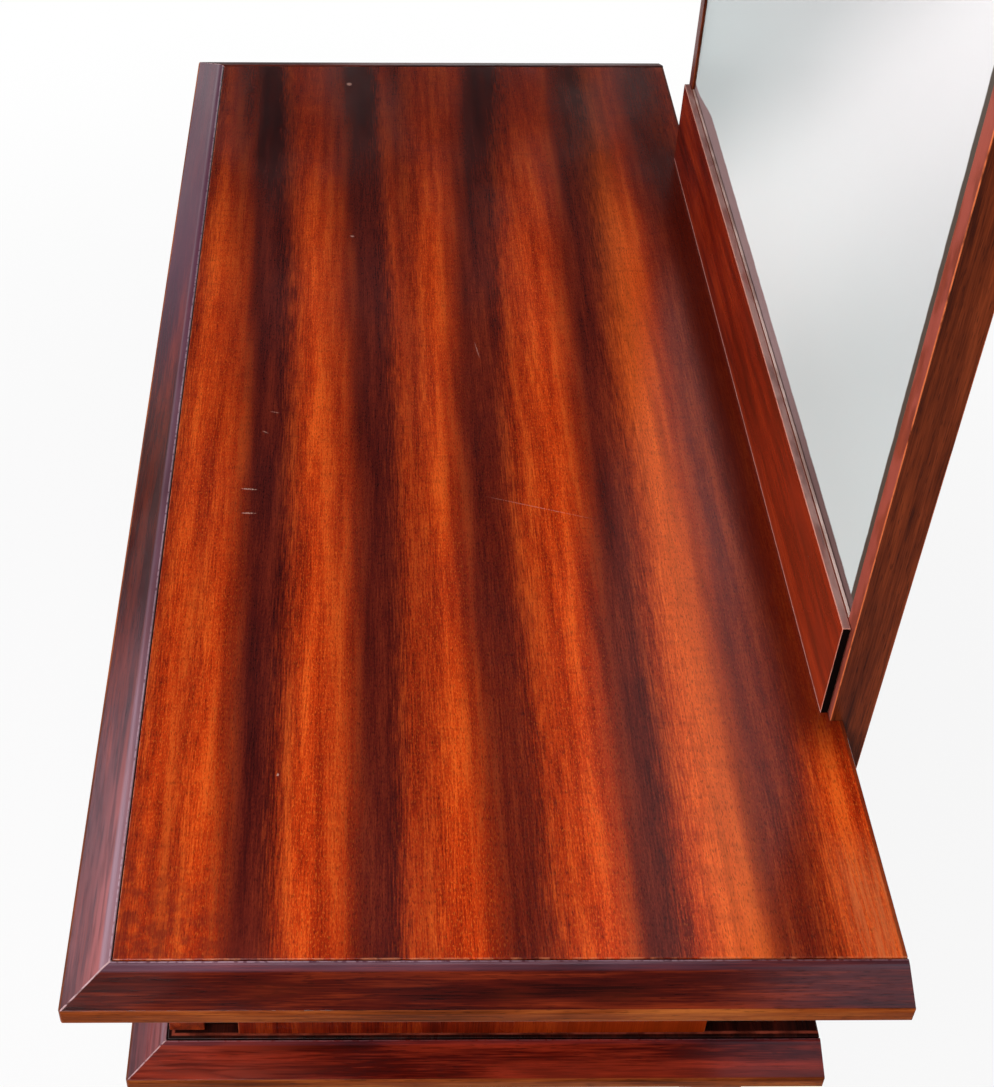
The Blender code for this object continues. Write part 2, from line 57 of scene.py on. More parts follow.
# %% [markdown]
# ## The camera
# The picture looks down the length of the table from above its right end. A camera could be placed by
# eye, but here its place and angles were worked out from the corners of the top, so the same corners
# fall on the same points of the picture. The lens axis lies left of the picture's middle, which is what
# a cropped picture has, and the camera's shift stands for that crop.

# %% Camera
PICTURE_WIDTH = 994
PICTURE_HEIGHT = 1087
FOCAL_LENGTH_PIXELS = 1709.3
LENS_AXIS_PIXEL = 381.4
FILM_SIZE = 36.0
CAMERA_PLACE = (1.0610, -0.0797, 1.5270)
CAMERA_HEADING = 89.11
CAMERA_TILT = 47.40
CAMERA_ROLL = 0.585

lens = bpy.data.cameras.new("end_view")
lens.sensor_width = FILM_SIZE
lens.lens = FOCAL_LENGTH_PIXELS / PICTURE_HEIGHT * FILM_SIZE
lens.shift_x = (PICTURE_WIDTH / 2 - LENS_AXIS_PIXEL) / PICTURE_HEIGHT
camera = bpy.data.objects.new("end_view", lens)
heading = Matrix.Rotation(math.radians(CAMERA_HEADING), 4, "Z")
tilt = Matrix.Rotation(math.radians(CAMERA_TILT), 4, "X")
roll = Matrix.Rotation(math.radians(CAMERA_ROLL), 4, "Z")
camera.matrix_world = Matrix.Translation(CAMERA_PLACE) @ heading @ tilt @ roll
scene.collection.objects.link(camera)
scene.camera = camera
print("lens in mm:", round(lens.lens, 1))

# %% [markdown]
# ## Floor and sky
# The table stands on a plain white floor. A white floor under soft light comes out grey, and more light
# would bleach the wood. So part of the floor's brightness is its own glow, seen only by the camera and
# by shiny surfaces, while its plain diffuse part still takes the table's shadow. Away from the table the
# glow takes over, so the floor runs into the sky without a line. The sky is white near the horizon and
# dark overhead, so a lacquered top shows its own colour and not a milky reflection.

# %% Floor and sky
FLOOR_SIZE = 14.0
FLOOR_DROP = 0.0003
FLOOR_WHITE = (0.90, 0.90, 0.90, 1.0)
FLOOR_GLOW = (0.88, 1.00)
GLOW_REACH = (0.70, 2.20)
HORIZON_COLOUR = (1.00, 1.00, 1.00, 1.0)
OVERHEAD_COLOUR = (0.03, 0.03, 0.033, 1.0)
HORIZON_TOP = 0.29
OVERHEAD_START = 0.40
SKY_LIGHT = 0.40


def wire(tree, *pairs):
    """Link each source socket to its target."""
    for source, target in pairs:
        tree.links.new(source, target)


floor_mesh = bpy.data.meshes.new("floor")
floor_shape = bmesh.new()
bmesh.ops.create_grid(floor_shape, x_segments=1, y_segments=1, size=FLOOR_SIZE / 2)
floor_shape.to_mesh(floor_mesh)
floor_shape.free()
floor_mesh.transform(Matrix.Translation((0, 0, -FLOOR_DROP)))
floor = bpy.data.objects.new("floor", floor_mesh)
scene.collection.objects.link(floor)

paint = bpy.data.materials.new("white_floor")
paint.use_nodes = True
paint_nodes = paint.node_tree.nodes
paint_nodes.clear()
matt = paint_nodes.new("ShaderNodeBsdfDiffuse")
matt.inputs["Color"].default_value = FLOOR_WHITE
glow = paint_nodes.new("ShaderNodeEmission")
rays = paint_nodes.new("ShaderNodeLightPath")
seen = paint_nodes.new("ShaderNodeMath")
seen.operation = "MAXIMUM"
shown = paint_nodes.new("ShaderNodeMath")
shown.operation = "MAXIMUM"
floor_place = paint_nodes.new("ShaderNodeTexCoord")
away = paint_nodes.new("ShaderNodeVectorMath")
away.operation = "LENGTH"
lift = paint_nodes.new("ShaderNodeMapRange")
lift.interpolation_type = "SMOOTHSTEP"
for label, number in zip(("From Min", "From Max", "To Min", "To Max"), GLOW_REACH + FLOOR_GLOW):
    lift.inputs[label].default_value = number
share = paint_nodes.new("ShaderNodeMath")
share.operation = "MULTIPLY"
blend = paint_nodes.new("ShaderNodeMixShader")
surface = paint_nodes.new("ShaderNodeOutputMaterial")
wire(
    paint.node_tree,
    (rays.outputs["Is Camera Ray"], seen.inputs[0]),
    (rays.outputs["Is Glossy Ray"], seen.inputs[1]),
    (seen.outputs[0], shown.inputs[0]),
    (rays.outputs["Is Transmission Ray"], shown.inputs[1]),
    (shown.outputs[0], share.inputs[0]),
    (floor_place.outputs["Object"], away.inputs[0]),
    (away.outputs["Value"], lift.inputs["Value"]),
    (lift.outputs[0], share.inputs[1]),
    (share.outputs[0], blend.inputs["Fac"]),
    (matt.outputs[0], blend.inputs[1]),
    (glow.outputs[0], blend.inputs[2]),
    (blend.outputs[0], surface.inputs["Surface"]),
)
floor_mesh.materials.append(paint)

sky = bpy.data.worlds.new("studio_sky")
sky.use_nodes = True
scene.world = sky
sky_nodes = sky.node_tree.nodes
direction = sky_nodes.new("ShaderNodeTexCoord")
parts = sky_nodes.new("ShaderNodeSeparateXYZ")
rise = sky_nodes.new("ShaderNodeMapRange")
rise.interpolation_type = "SMOOTHSTEP"
rise.inputs["From Min"].default_value = HORIZON_TOP
rise.inputs["From Max"].default_value = OVERHEAD_START
fade = sky_nodes.new("ShaderNodeMix")
fade.data_type = "RGBA"
fade.inputs[6].default_value = HORIZON_COLOUR
fade.inputs[7].default_value = OVERHEAD_COLOUR
sky_rays = sky_nodes.new("ShaderNodeLightPath")
level = sky_nodes.new("ShaderNodeMapRange")
level.inputs["To Min"].default_value = 1.0
level.inputs["To Max"].default_value = SKY_LIGHT
wire(
    sky.node_tree,
    (direction.outputs["Generated"], parts.inputs[0]),
    (parts.outputs["Z"], rise.inputs["Value"]),
    (rise.outputs[0], fade.inputs["Factor"]),
    (fade.outputs[2], sky_nodes["Background"].inputs["Color"]),
    (sky_rays.outputs["Is Diffuse Ray"], level.inputs["Value"]),
    (level.outputs[0], sky_nodes["Background"].inputs["Strength"]),
)
print("floor size in m:", FLOOR_SIZE)

# %% [markdown]
# ## Lamps
# The light is a few large soft panels, as in a studio. The main one hangs above the near end, so the
# wood is bright there and falls away towards the far end. One panel in front of the table gives the
# front moulding its pale sheen, a strip overhead does the same for the lip of the end moulding, and a
# faint one for the near corner at the back. Wide weak panels in front, behind and beyond the far end
# keep the drawers and the back from going dark. Their sizes are large against their distance, which is
# what makes shadows soft.

# %% Lamps
PLAIN_LIGHT = (1.0, 1.0, 1.0)
COOL_LIGHT = (0.95, 0.82, 1.0)
PANELS = (
    # name, place, aimed at, width, height, watts, colour
    ("near_end_panel", (1.50, -0.62, 2.00), (0.15, 0.00, 0.70), 1.00, 0.90, 32.0, PLAIN_LIGHT),
    ("sheen_panel", (-1.07, -1.75, 2.12), (0.30, -0.23, 0.70), 0.80, 0.80, 4.4, COOL_LIGHT),
    ("overhead_strip", (0.00, -0.10, 2.40), (0.00, -0.10, 0.70), 0.30, 1.20, 2.2, COOL_LIGHT),
    ("corner_panel", (0.67, 0.78, 2.35), (0.54, 0.18, 0.72), 0.60, 0.40, 0.8, COOL_LIGHT),
    ("front_panel", (-0.20, -2.80, 1.10), (0.00, 0.00, 0.85), 2.20, 1.20, 44.5, PLAIN_LIGHT),
    ("back_panel", (-0.60, 2.80, 1.20), (0.00, 0.20, 0.80), 2.20, 1.40, 20.0, PLAIN_LIGHT),
    ("far_end_panel", (-2.70, 0.60, 0.60), (-0.40, 0.00, 0.55), 1.40, 1.00, 6.0, PLAIN_LIGHT),
)


def hang_panel(name, place, aim, width, height, watts, colour):
    """Hang one soft panel lamp, turned towards what it lights and unseen by the camera."""
    lamp = bpy.data.lights.new(name, "AREA")
    lamp.shape = "RECTANGLE"
    lamp.size = width
    lamp.size_y = height
    lamp.energy = watts
    lamp.color = colour
    panel = bpy.data.objects.new(name, lamp)
    panel.location = place
    panel.rotation_euler = (Vector(aim) - Vector(place)).to_track_quat("-Z", "Y").to_euler()
    panel.visible_camera = False
    scene.collection.objects.link(panel)


for panel_row in PANELS:
    hang_panel(*panel_row)
print("panels:", len(PANELS))

# %% [markdown]
# ## A small kit for finishes
# Every finish here is a Principled shader fed by noise that is stretched along the grain. Wiring such
# trees by hand takes many lines, so this kit wraps the few nodes that all the woods share. Colours are
# written as an image editor shows them, from 0 to 255, and turned into the linear light that shaders
# work with. The patterns use Object coordinates: each piece sits at the origin with its place in its
# mesh, so one metre of wood is one metre of pattern.

# %% Finish kit
GRAIN_AXES = {"X": 0, "Y": 1, "Z": 2}


def tone(red, green, blue):
    """A colour from 0 to 255 as linear light."""
    shares = (red / 255, green / 255, blue / 255)
    linear = [s / 12.92 if s <= 0.04045 else ((s + 0.055) / 1.055) ** 2.4 for s in shares]
    return (*linear, 1.0)


class Finish:
    """One material, built node by node. A plain number or colour may stand in for any socket."""

    def __init__(self, name):
        self.material = bpy.data.materials.new(name)
        self.material.use_nodes = True
        self.nodes = self.material.node_tree.nodes
        self.shader = self.nodes["Principled BSDF"]
        self.where = self.nodes.new("ShaderNodeTexCoord").outputs["Object"]

    def put(self, socket, value):
        """Link a socket's value, or set it."""
        if isinstance(value, bpy.types.NodeSocket):
            self.material.node_tree.links.new(value, socket)
        else:
            socket.default_value = value

    def math(self, operation, first, second=0.0, third=0.0):
        """One arithmetic step."""
        step = self.nodes.new("ShaderNodeMath")
        step.operation = operation
        for socket, value in zip(step.inputs, (first, second, third)):
            self.put(socket, value)
        return step.outputs[0]

    def axes(self):
        """The X, Y and Z of a point on the piece."""
        split = self.nodes.new("ShaderNodeSeparateXYZ")
        self.put(split.inputs[0], self.where)
        return split.outputs

    def along(self, grain, stretch, shift=0.0):
        """Coordinates drawn out along the grain, so noise on them makes streaks."""
        scale = [1.0, 1.0, 1.0]
        scale[GRAIN_AXES[grain]] = stretch
        turn = self.nodes.new("ShaderNodeMapping")
        self.put(turn.inputs["Vector"], self.where)
        turn.inputs["Scale"].default_value = scale
        turn.inputs["Location"].default_value = (shift, shift, shift)
        return turn.outputs[0]

    def noise(self, where, scale, detail=2.0, roughness=0.5):
        """Soft random values round one half."""
        cloud = self.nodes.new("ShaderNodeTexNoise")
        self.put(cloud.inputs["Vector"], where)
        cloud.inputs["Scale"].default_value = scale
        cloud.inputs["Detail"].default_value = detail
        cloud.inputs["Roughness"].default_value = roughness
        return cloud.outputs["Fac"]

    def spread(self, value, low, high, to_low=0.0, to_high=1.0):
        """Ease a value from one range into another."""
        ease = self.nodes.new("ShaderNodeMapRange")
        ease.interpolation_type = "SMOOTHSTEP"
        for label, number in (("Value", value), ("From Min", low), ("From Max", high),
                              ("To Min", to_low), ("To Max", to_high)):
            self.put(ease.inputs[label], number)
        return ease.outputs[0]

    def within(self, value, reach, solid, amount=1.0):
        """An amount up to a share of a reach, easing to nothing at the reach."""
        return self.spread(value, reach, reach * solid, 0.0, amount)

    def apart(self, value, middle):
        """How far a value lies from a middle, either way."""
        return self.math("ABSOLUTE", self.math("SUBTRACT", value, middle))

    def mix(self, share, first, second, kind="MIX"):
        """Mix two colours."""
        both = self.nodes.new("ShaderNodeMix")
        both.data_type = "RGBA"
        both.blend_type = kind
        self.put(both.inputs["Factor"], share)
        self.put(both.inputs[6], first)
        self.put(both.inputs[7], second)
        return both.outputs[2]

    def ramp(self, value, *stops):
        """A run of colours along a value."""
        run = self.nodes.new("ShaderNodeValToRGB")
        self.put(run.inputs["Fac"], value)
        while len(run.color_ramp.elements) < len(stops):
            run.color_ramp.elements.new(1.0)
        for element, (place, colour) in zip(run.color_ramp.elements, stops):
            element.position = place
            element.color = colour
        return run.outputs["Color"]

    def mark(self, name):
        """A value that the mesh carries on its faces."""
        reader = self.nodes.new("ShaderNodeAttribute")
        reader.attribute_name = name
        return reader.outputs["Fac"]

    def bump(self, height, strength, depth):
        """Small relief from a height."""
        relief = self.nodes.new("ShaderNodeBump")
        relief.inputs["Strength"].default_value = strength
        relief.inputs["Distance"].default_value = depth
        self.put(relief.inputs["Height"], height)
        self.put(self.shader.inputs["Normal"], relief.outputs[0])

    def set(self, label, value):
        """Set or link one of the shader's own sockets."""
        self.put(self.shader.inputs[label], value)


print("a middle grey of 128 as linear light:", round(tone(128, 128, 128)[0], 3))

# %% [markdown]
# ## Lacquered wood
# Mouldings, mirror frame, legs and rails are a dark red-brown hardwood under clear lacquer. Three scales
# of noise make it: wide streaks of colour, fine fibres, and short dark pores. Edges that hands touch are
# worn pale and cut ends drink more stain, so the finish reads two marks that the meshes carry,
# worn_edge and end_grain. One function with a few colours makes every wood of this kind, along any axis.

# %% Lacquered wood
WORN_TONE = tone(204, 106, 64)
PORE_TONE = tone(26, 7, 6)
END_TONE = tone(10, 5, 5)
PORE_DEPTH = 0.00025


def lacquered_wood(name, grain, tones, wear=0.5, patches=(0.36, 0.60), worn_tone=WORN_TONE,
                   gloss=(0.20, 0.34), shine=0.5, relief=0.16, marks=()):
    """A streaky lacquered hardwood with its grain along one axis. Returns the finish and its colour.

    Marks are rows of a face mark, the colour that it takes, and how far.
    """
    finish = Finish(name)
    streaks = finish.noise(finish.along(grain, 0.06), 95, 4, 0.6)
    blotches = finish.noise(finish.along(grain, 0.22, 5.3), 26, 3)
    fibres = finish.noise(finish.along(grain, 0.03, 3.1), 950, 2)
    figure = finish.math("MULTIPLY_ADD", streaks, 0.50, finish.math("MULTIPLY", fibres, 0.22))
    figure = finish.math("MULTIPLY_ADD", blotches, 0.28, figure)
    colour = finish.ramp(figure, (0.40, tones[0]), (0.50, tones[1]), (0.62, tones[2]))
    pores = finish.spread(finish.noise(finish.along(grain, 0.07, 7.7), 1500, 1), 0.58, 0.72)
    colour = finish.mix(finish.math("MULTIPLY", pores, 0.5), colour, PORE_TONE)
    clouds = finish.noise(finish.along(grain, 0.4, 6.6), 70, 3)
    for mark, mark_tone, amount in (*marks, ("end_grain", END_TONE, 0.95)):
        cloudy = finish.spread(clouds, 0.38, 0.60, amount * 0.45, amount)
        colour = finish.mix(finish.math("MULTIPLY", finish.mark(mark), cloudy), colour, mark_tone)
    kept = finish.spread(finish.noise(finish.where, 90, 3), *patches)
    worn = finish.math("MULTIPLY", finish.math("MULTIPLY", finish.mark("worn_edge"), kept), wear)
    colour = finish.mix(worn, colour, worn_tone)
    smears = finish.noise(finish.along(grain, 0.3, 1.3), 24, 3)
    finish.set("Roughness", finish.spread(smears, 0.35, 0.68, *gloss))
    finish.set("Specular IOR Level", shine)
    finish.bump(finish.math("SUBTRACT", finish.math("MULTIPLY", fibres, 0.5), pores), relief, PORE_DEPTH)
    finish.set("Base Color", colour)
    return finish, colour


def plain_wood(*settings, **more):
    """A lacquered wood that needs nothing added."""
    return lacquered_wood(*settings, **more)[0].material


FRAME_TONES = (tone(58, 20, 8), tone(98, 39, 17), tone(132, 58, 28))
LEG_TONES = (tone(62, 18, 12), tone(100, 32, 18), tone(138, 54, 28))
# Painted sheen: the tops of the frame's bars are paler, in place of their reflection of the sky.
TOP_SHEEN_TONE = tone(214, 192, 182)
FRAME_FRONT_TONE = tone(164, 82, 70)
FRAME_MARKS = (("front_face", FRAME_FRONT_TONE, 0.75), ("top_face", TOP_SHEEN_TONE, 0.95))
FAR_STILE_MARKS = (("front_face", tone(92, 32, 26), 0.85),)
frame_wood = {
    axis: plain_wood("frame_wood_" + axis, axis, FRAME_TONES, wear=wear, patches=(0.25, 0.50),
                     shine=0.05, gloss=(0.3, 0.45), marks=FRAME_MARKS)
    for axis, wear in (("X", 0.1), ("Z", 0.9))
}
frame_wood["far"] = plain_wood("frame_wood_far", "Z", FRAME_TONES, wear=0.2, shine=0.05, gloss=(0.3, 0.45),
                               marks=FAR_STILE_MARKS)
leg_wood = {axis: plain_wood("leg_wood_" + axis, axis, LEG_TONES, shine=0.3) for axis in "XYZ"}
print("lacquered woods:", len(frame_wood) + len(leg_wood))

# %% [markdown]
# ## Foot board wood
# The low board at the mirror's foot is the same wood, but redder, and lighter towards the near end. Its
# top is painted paler as a painted sheen, and where it stands on the table the lacquer has chipped to a
# thin pale line. The line is a mask on the height above the table, broken up by noise, so that it follows
# the board exactly. The board's cut ends are nearly black and dull.

# %% Foot board wood
RED_TONES = (tone(62, 9, 4), tone(104, 21, 6), tone(142, 42, 13))
RED_NEAR_TONE = tone(92, 34, 15)
RED_NEAR_START = 0.6
RED_WORN_TONE = tone(206, 150, 132)
# Painted sheen: the board's top is paler, in place of its reflection of the sky.
RED_TOP_SHEEN_TONE = tone(164, 126, 118)
FOOT_LINE = 0.0019
FOOT_LINE_TONE = tone(206, 150, 140)


def foot_board_finish():
    """Red lacquered wood with a painted sheen on its top and a pale line at its foot."""
    finish, colour = lacquered_wood("foot_board_wood", "X", RED_TONES, wear=0.6, patches=(0.2, 0.45),
                                    worn_tone=RED_WORN_TONE, shine=0.2,
                                    marks=(("top_face", RED_TOP_SHEEN_TONE, 0.9),))
    low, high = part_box("mirror_foot_board")
    x, _, z = finish.axes()
    front = finish.math("SUBTRACT", 1.0, finish.mark("top_face"))
    lighter = finish.math("MULTIPLY", finish.spread(x, low.x * RED_NEAR_START, high.x), front)
    colour = finish.mix(lighter, colour, RED_NEAR_TONE, "ADD")
    height = finish.math("SUBTRACT", z, low.z)
    chips = finish.spread(finish.noise(finish.where, 120, 3), 0.22, 0.42)
    line = finish.math("MULTIPLY", finish.within(height, FOOT_LINE, 0.6), chips)
    finish.set("Base Color", finish.mix(line, colour, FOOT_LINE_TONE))
    return finish.material


foot_board_wood = foot_board_finish()
raw_end_wood = plain_wood("raw_end_wood", "X", (tone(8, 4, 4), tone(14, 6, 5), tone(24, 10, 8)), wear=0.0,
                          gloss=(0.6, 0.8), shine=0.02)
print("foot board wood nodes:", len(foot_board_wood.node_tree.nodes))

# %% [markdown]
# ## Moulding wood
# The mouldings are the same hardwood, stained darker on the top and redder below. The groove beside the
# panel is painted dark as painted shade, the lip carries a cloudy violet painted sheen with a pale line
# of painted highlight along its inner arris, and the mitres at the corners show as pale lines where the
# lacquer has chipped. These could be modelled as slivers, but masks are enough: the groove and the lip
# are distances out from the panel, and the mitre is the plane at 45 degrees through the panel's corner.
# The front moulding is worn pale towards the near end and carries a painted violet sheen towards the far
# one. The far end's own moulding is duller, because it is seen at a glancing angle.

# %% Moulding wood
LIP_WIDTHS = {"top": 0.0068, "lower": 0.0046}
LIP_SOFTNESS = 0.0010
GROOVE_SHADE_REACH = 0.0011
LIP_HIGHLIGHT_LINE = (0.0017, 0.0006)
MITRE_LINE = 0.0009
WORN_REACH = (0.22, 0.50)
WORN_SHARE = 0.95
WORN_OUTER_SHARE = 0.35
WORN_OUTER_PLACE = 0.7
FAR_SHEEN_REACH = (0.10, -0.25)
FAR_SHEEN_SHARE = 0.7
PALE_LIP_REACH = (0.15, 0.50)
PALE_LIP_SHARE = 0.28
LIP_SHEEN_REACH = (0.20, -0.20)
WARM_REACH = (0.12, -0.12)
WARM_PLACES = (0.35, 0.8)
WARM_CORNER = (-0.08, -0.20)
WARM_CORNER_SHARES = {"top": 0.0, "lower": 0.45}
DEEP_PLACE = 0.17
DEEP_REACH = (0.22, 0.05)
DEEP_SHARE = 0.55
MOULDING_SHINE = {"top": 0.45, "lower": 0.32}
GROOVE_SHADE_TONE = tone(20, 8, 8)
LIP_SHEEN_TONE = tone(116, 82, 98)
LIP_SHEEN_SHARES = {"top": 0.70, "lower": 0.20}
LIP_WEAR_AND_HIGHLIGHT_TONE = tone(196, 166, 176)
WORN_SLOPE_TONE = tone(152, 76, 70)
FAR_SHEEN_TONE = tone(92, 34, 68)
DEEP_TONE = tone(42, 9, 7)
WARM_TONES = {"top": tone(140, 54, 22), "lower": tone(184, 66, 42)}
MITRE_TONE = tone(222, 182, 182)
TOP_MOULDING_TONES = (tone(36, 8, 7), tone(74, 18, 11), tone(128, 44, 20))
LOWER_MOULDING_TONES = (tone(40, 5, 3), tone(74, 9, 4), tone(146, 42, 22))
EDGE_TONES = (tone(86, 36, 12), tone(132, 60, 23), tone(170, 92, 40))


def front_wear(finish, colour, x, out, streaks, lip, width):
    """Colour of the front moulding, worn pale at the near end and with a painted violet sheen at the far one.
    """
    worn = finish.math("MULTIPLY", finish.spread(x, *WORN_REACH, 0.0, WORN_SHARE), streaks)
    by_lip = finish.spread(out, width * WORN_OUTER_PLACE, lip, WORN_OUTER_SHARE, 1.0)
    colour = finish.mix(finish.math("MULTIPLY", worn, by_lip), colour, WORN_SLOPE_TONE)
    # Painted sheen: violet towards the far end, in place of the reflection of the horizon.
    colour = finish.mix(finish.spread(x, *FAR_SHEEN_REACH, 0.0, FAR_SHEEN_SHARE), colour, FAR_SHEEN_TONE)
    deep = finish.spread(finish.apart(x, DEEP_PLACE), *DEEP_REACH, 0.0, DEEP_SHARE)
    return finish.mix(deep, colour, DEEP_TONE)


def end_warmth(finish, colour, y, out, streaks, slab, width):
    """Colour of the end moulding, with warm patches that grow towards the front."""
    warm = finish.spread(finish.noise(finish.along("Y", 0.3, 4.4), 17, 2), 0.47, 0.64, 0.0, 0.7)
    warm = finish.math("MULTIPLY", warm, finish.spread(y, *WARM_REACH, 0.3, 1.0))
    slope = finish.spread(out, width * WARM_PLACES[0], width * WARM_PLACES[1])
    corner = finish.spread(y, *WARM_CORNER, 0.0, WARM_CORNER_SHARES[slab])
    warm = finish.math("MAXIMUM", finish.math("MULTIPLY", warm, slope),
                       finish.math("MULTIPLY", corner, streaks))
    return finish.mix(warm, colour, WARM_TONES[slab])


def moulding_wood(slab, grain, tones, bright=True):
    """Moulding wood with painted groove shade, a painted lip sheen and pale mitres at the panel's front
    corners.
    """
    low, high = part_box(slab + "_panel")
    lip = LIP_WIDTHS[slab]
    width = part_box(slab + "_right_moulding")[1].x - high.x
    name = f"{slab}_moulding_wood_{grain}" if bright else f"{slab}_moulding_wood_far"
    shine, gloss = (MOULDING_SHINE[slab], (0.12, 0.24)) if bright else (0.03, (0.45, 0.60))
    finish, colour = lacquered_wood(name, grain, tones, gloss=gloss, shine=shine, relief=0.06)
    x, y, _ = finish.axes()
    out_end = finish.math("SUBTRACT", finish.math("ABSOLUTE", x), high.x)
    out_front = finish.math("SUBTRACT", low.y, y)
    out = finish.math("MAXIMUM", out_end, out_front)
    chips = finish.spread(finish.noise(finish.where, 260, 2), 0.34, 0.52)
    streaks = finish.spread(finish.noise(finish.along(grain, 0.05, 8.2), 330, 3), 0.40, 0.60, 0.25, 1.0)
    if grain == "X":
        colour = front_wear(finish, colour, x, out, streaks, lip, width)
    if bright:
        # Painted sheen: a cloudy violet on the lip, in place of its reflection of the cool lamps.
        clouds = finish.noise(finish.along(grain, 0.2, 2.0), 34, 3)
        clouds = finish.spread(clouds, 0.32, 0.66, LIP_SHEEN_SHARES[slab] * 0.4, LIP_SHEEN_SHARES[slab])
        if grain == "Y":
            clouds = finish.math("MULTIPLY", clouds, finish.spread(y, *LIP_SHEEN_REACH, 0.4, 1.0))
            colour = end_warmth(finish, colour, y, out, streaks, slab, width)
        on_lip = finish.spread(out, lip + LIP_SOFTNESS, lip - LIP_SOFTNESS)
        colour = finish.mix(finish.math("MULTIPLY", on_lip, clouds), colour, LIP_SHEEN_TONE)
        if grain == "X":
            pale = finish.math("MULTIPLY", on_lip, finish.spread(x, *PALE_LIP_REACH, 0.0, PALE_LIP_SHARE))
            colour = finish.mix(pale, colour, LIP_WEAR_AND_HIGHLIGHT_TONE)
        # Painted highlight: a pale line along the lip's inner arris, broken up by noise and following the
        # painted sheen. The same pale tone marks the worn lip near the near end.
        off_line = finish.apart(out, LIP_HIGHLIGHT_LINE[0])
        line = finish.math("MULTIPLY", finish.within(off_line, LIP_HIGHLIGHT_LINE[1], 0.3), chips)
        colour = finish.mix(finish.math("MULTIPLY", line, clouds), colour, LIP_WEAR_AND_HIGHLIGHT_TONE)
    # Painted shade: the groove beside the panel is darkened in colour.
    colour = finish.mix(finish.within(out, GROOVE_SHADE_REACH, 0.6), colour, GROOVE_SHADE_TONE)
    mitre = finish.apart(out_end, out_front)
    line = finish.math("MULTIPLY", finish.within(mitre, MITRE_LINE, 0.4), chips)
    colour = finish.mix(finish.math("MULTIPLY", line, 0.9), colour, MITRE_TONE)
    finish.set("Base Color", colour)
    return finish.material


moulding_woods = {}
for slab, tones in (("top", TOP_MOULDING_TONES), ("lower", LOWER_MOULDING_TONES)):
    moulding_woods[slab, "front"] = moulding_wood(slab, "X", tones)
    moulding_woods[slab, "right"] = moulding_wood(slab, "Y", tones)
    moulding_woods[slab, "left"] = moulding_wood(slab, "Y", tones, bright=False)
edge_woods = {axis: plain_wood("moulding_edge_wood_" + axis, axis, EDGE_TONES, shine=0.03, gloss=(0.4, 0.6))
              for axis in "XY"}
print("moulding woods:", len(moulding_woods))

# %% [markdown]
# ## Ribbon-striped veneer
# The top is one wide sheet of striped veneer: orange bands and dark maroon bands that run its length and
# drift slowly sideways. A wave texture would space them evenly, so each dark band is listed one by one
# instead, by where it starts, where it ends and how far it bows between. Fibre noise shifts the bands
# sideways a little, which feathers their edges along the grain. The far end is painted darker as painted
# shade, with a faint cool painted reflection, the strip beside the mirror's foot board is painted dark as
# the painted shade and reflection of the board, and the near corner at the back is painted paler as a
# painted sheen.

# %% Striped veneer of the top
BANDS = (
    # distance from the front edge at the near end, at the far end, bow, half width, depth near, far
    (0.072, 0.047, 0.006, 0.0180, 0.97, 0.97),
    (0.148, 0.133, 0.006, 0.0180, 0.93, 0.96),
    (0.232, 0.258, -0.015, 0.0190, 0.84, 0.94),
    (0.305, 0.342, -0.004, 0.0170, 0.92, 0.86),
    (0.383, 0.412, 0.002, 0.0210, 0.78, 0.72),
    (0.252, 0.272, -0.008, 0.0100, 0.32, 0.45),
    (0.173, 0.168, 0.004, 0.0110, 0.44, 0.58),
    (0.124, 0.112, 0.004, 0.0070, 0.30, 0.60),
    (0.052, 0.024, 0.004, 0.0090, 0.00, 0.85),
    (0.024, 0.032, 0.000, 0.0060, 0.50, 0.00),
    (0.000, 0.000, 0.000, 0.0040, 0.80, 0.60),
)
BAND_EDGE = 0.013
BAND_SWELL = 0.25
BAND_WANDER = 0.012
FIBRE_FEATHER = 0.022
ORANGE_TONES = (tone(154, 38, 8), tone(203, 62, 15), tone(240, 99, 30))
GOLD_TONE = tone(244, 122, 42)
GOLD_BAND = (0.352, 0.030)
MAROON_TONES = (tone(44, 10, 11), tone(74, 19, 16), tone(106, 33, 22))
FAR_SHADE_TONE = tone(174, 160, 168)
FAR_SHADE_REACH = (-0.25, -0.90)
FRONT_CORNER = (0.150, 0.030)
BACK_CORNER_SHEEN = (0.425, 0.475)
BACK_CORNER_SHEEN_START = (0.400, 0.424)
BACK_CORNER_SHEEN_TONE = tone(210, 112, 62)
CHIP_TONE = tone(214, 168, 150)
WORN_VENEER_TONE = tone(206, 118, 76)
BACK_STRIP = 0.0030
BACK_STRIP_TONE = tone(74, 28, 16)
FOOT_SHADE_STRIP = (0.390, 0.414)
FOOT_SHADE_FADE = (0.062, -0.004)
FOOT_SHADE_TONE = tone(68, 14, 6)
EDGE_WEAR = 0.0009
SCARS = (
    # middle along and across the table, half length, half width, turn from the table's length, depth
    (-0.485, -0.092, 0.0034, 0.0030, 20, 0.8),
    (-0.210, -0.088, 0.0022, 0.0014, 70, 0.8),
    (0.1255, -0.161, 0.0065, 0.0008, 84, 0.75),
    (0.1516, -0.160, 0.0060, 0.0008, 88, 0.75),
    (0.391, -0.131, 0.0014, 0.0010, 0, 0.8),
    (0.146, 0.048, 0.0450, 0.00045, 72, 0.34),
    (-0.044, 0.012, 0.0120, 0.0005, 8, 0.4),
    (0.060, -0.152, 0.0030, 0.0007, 60, 0.5),
    (0.036, -0.146, 0.0040, 0.0006, 75, 0.5),
)


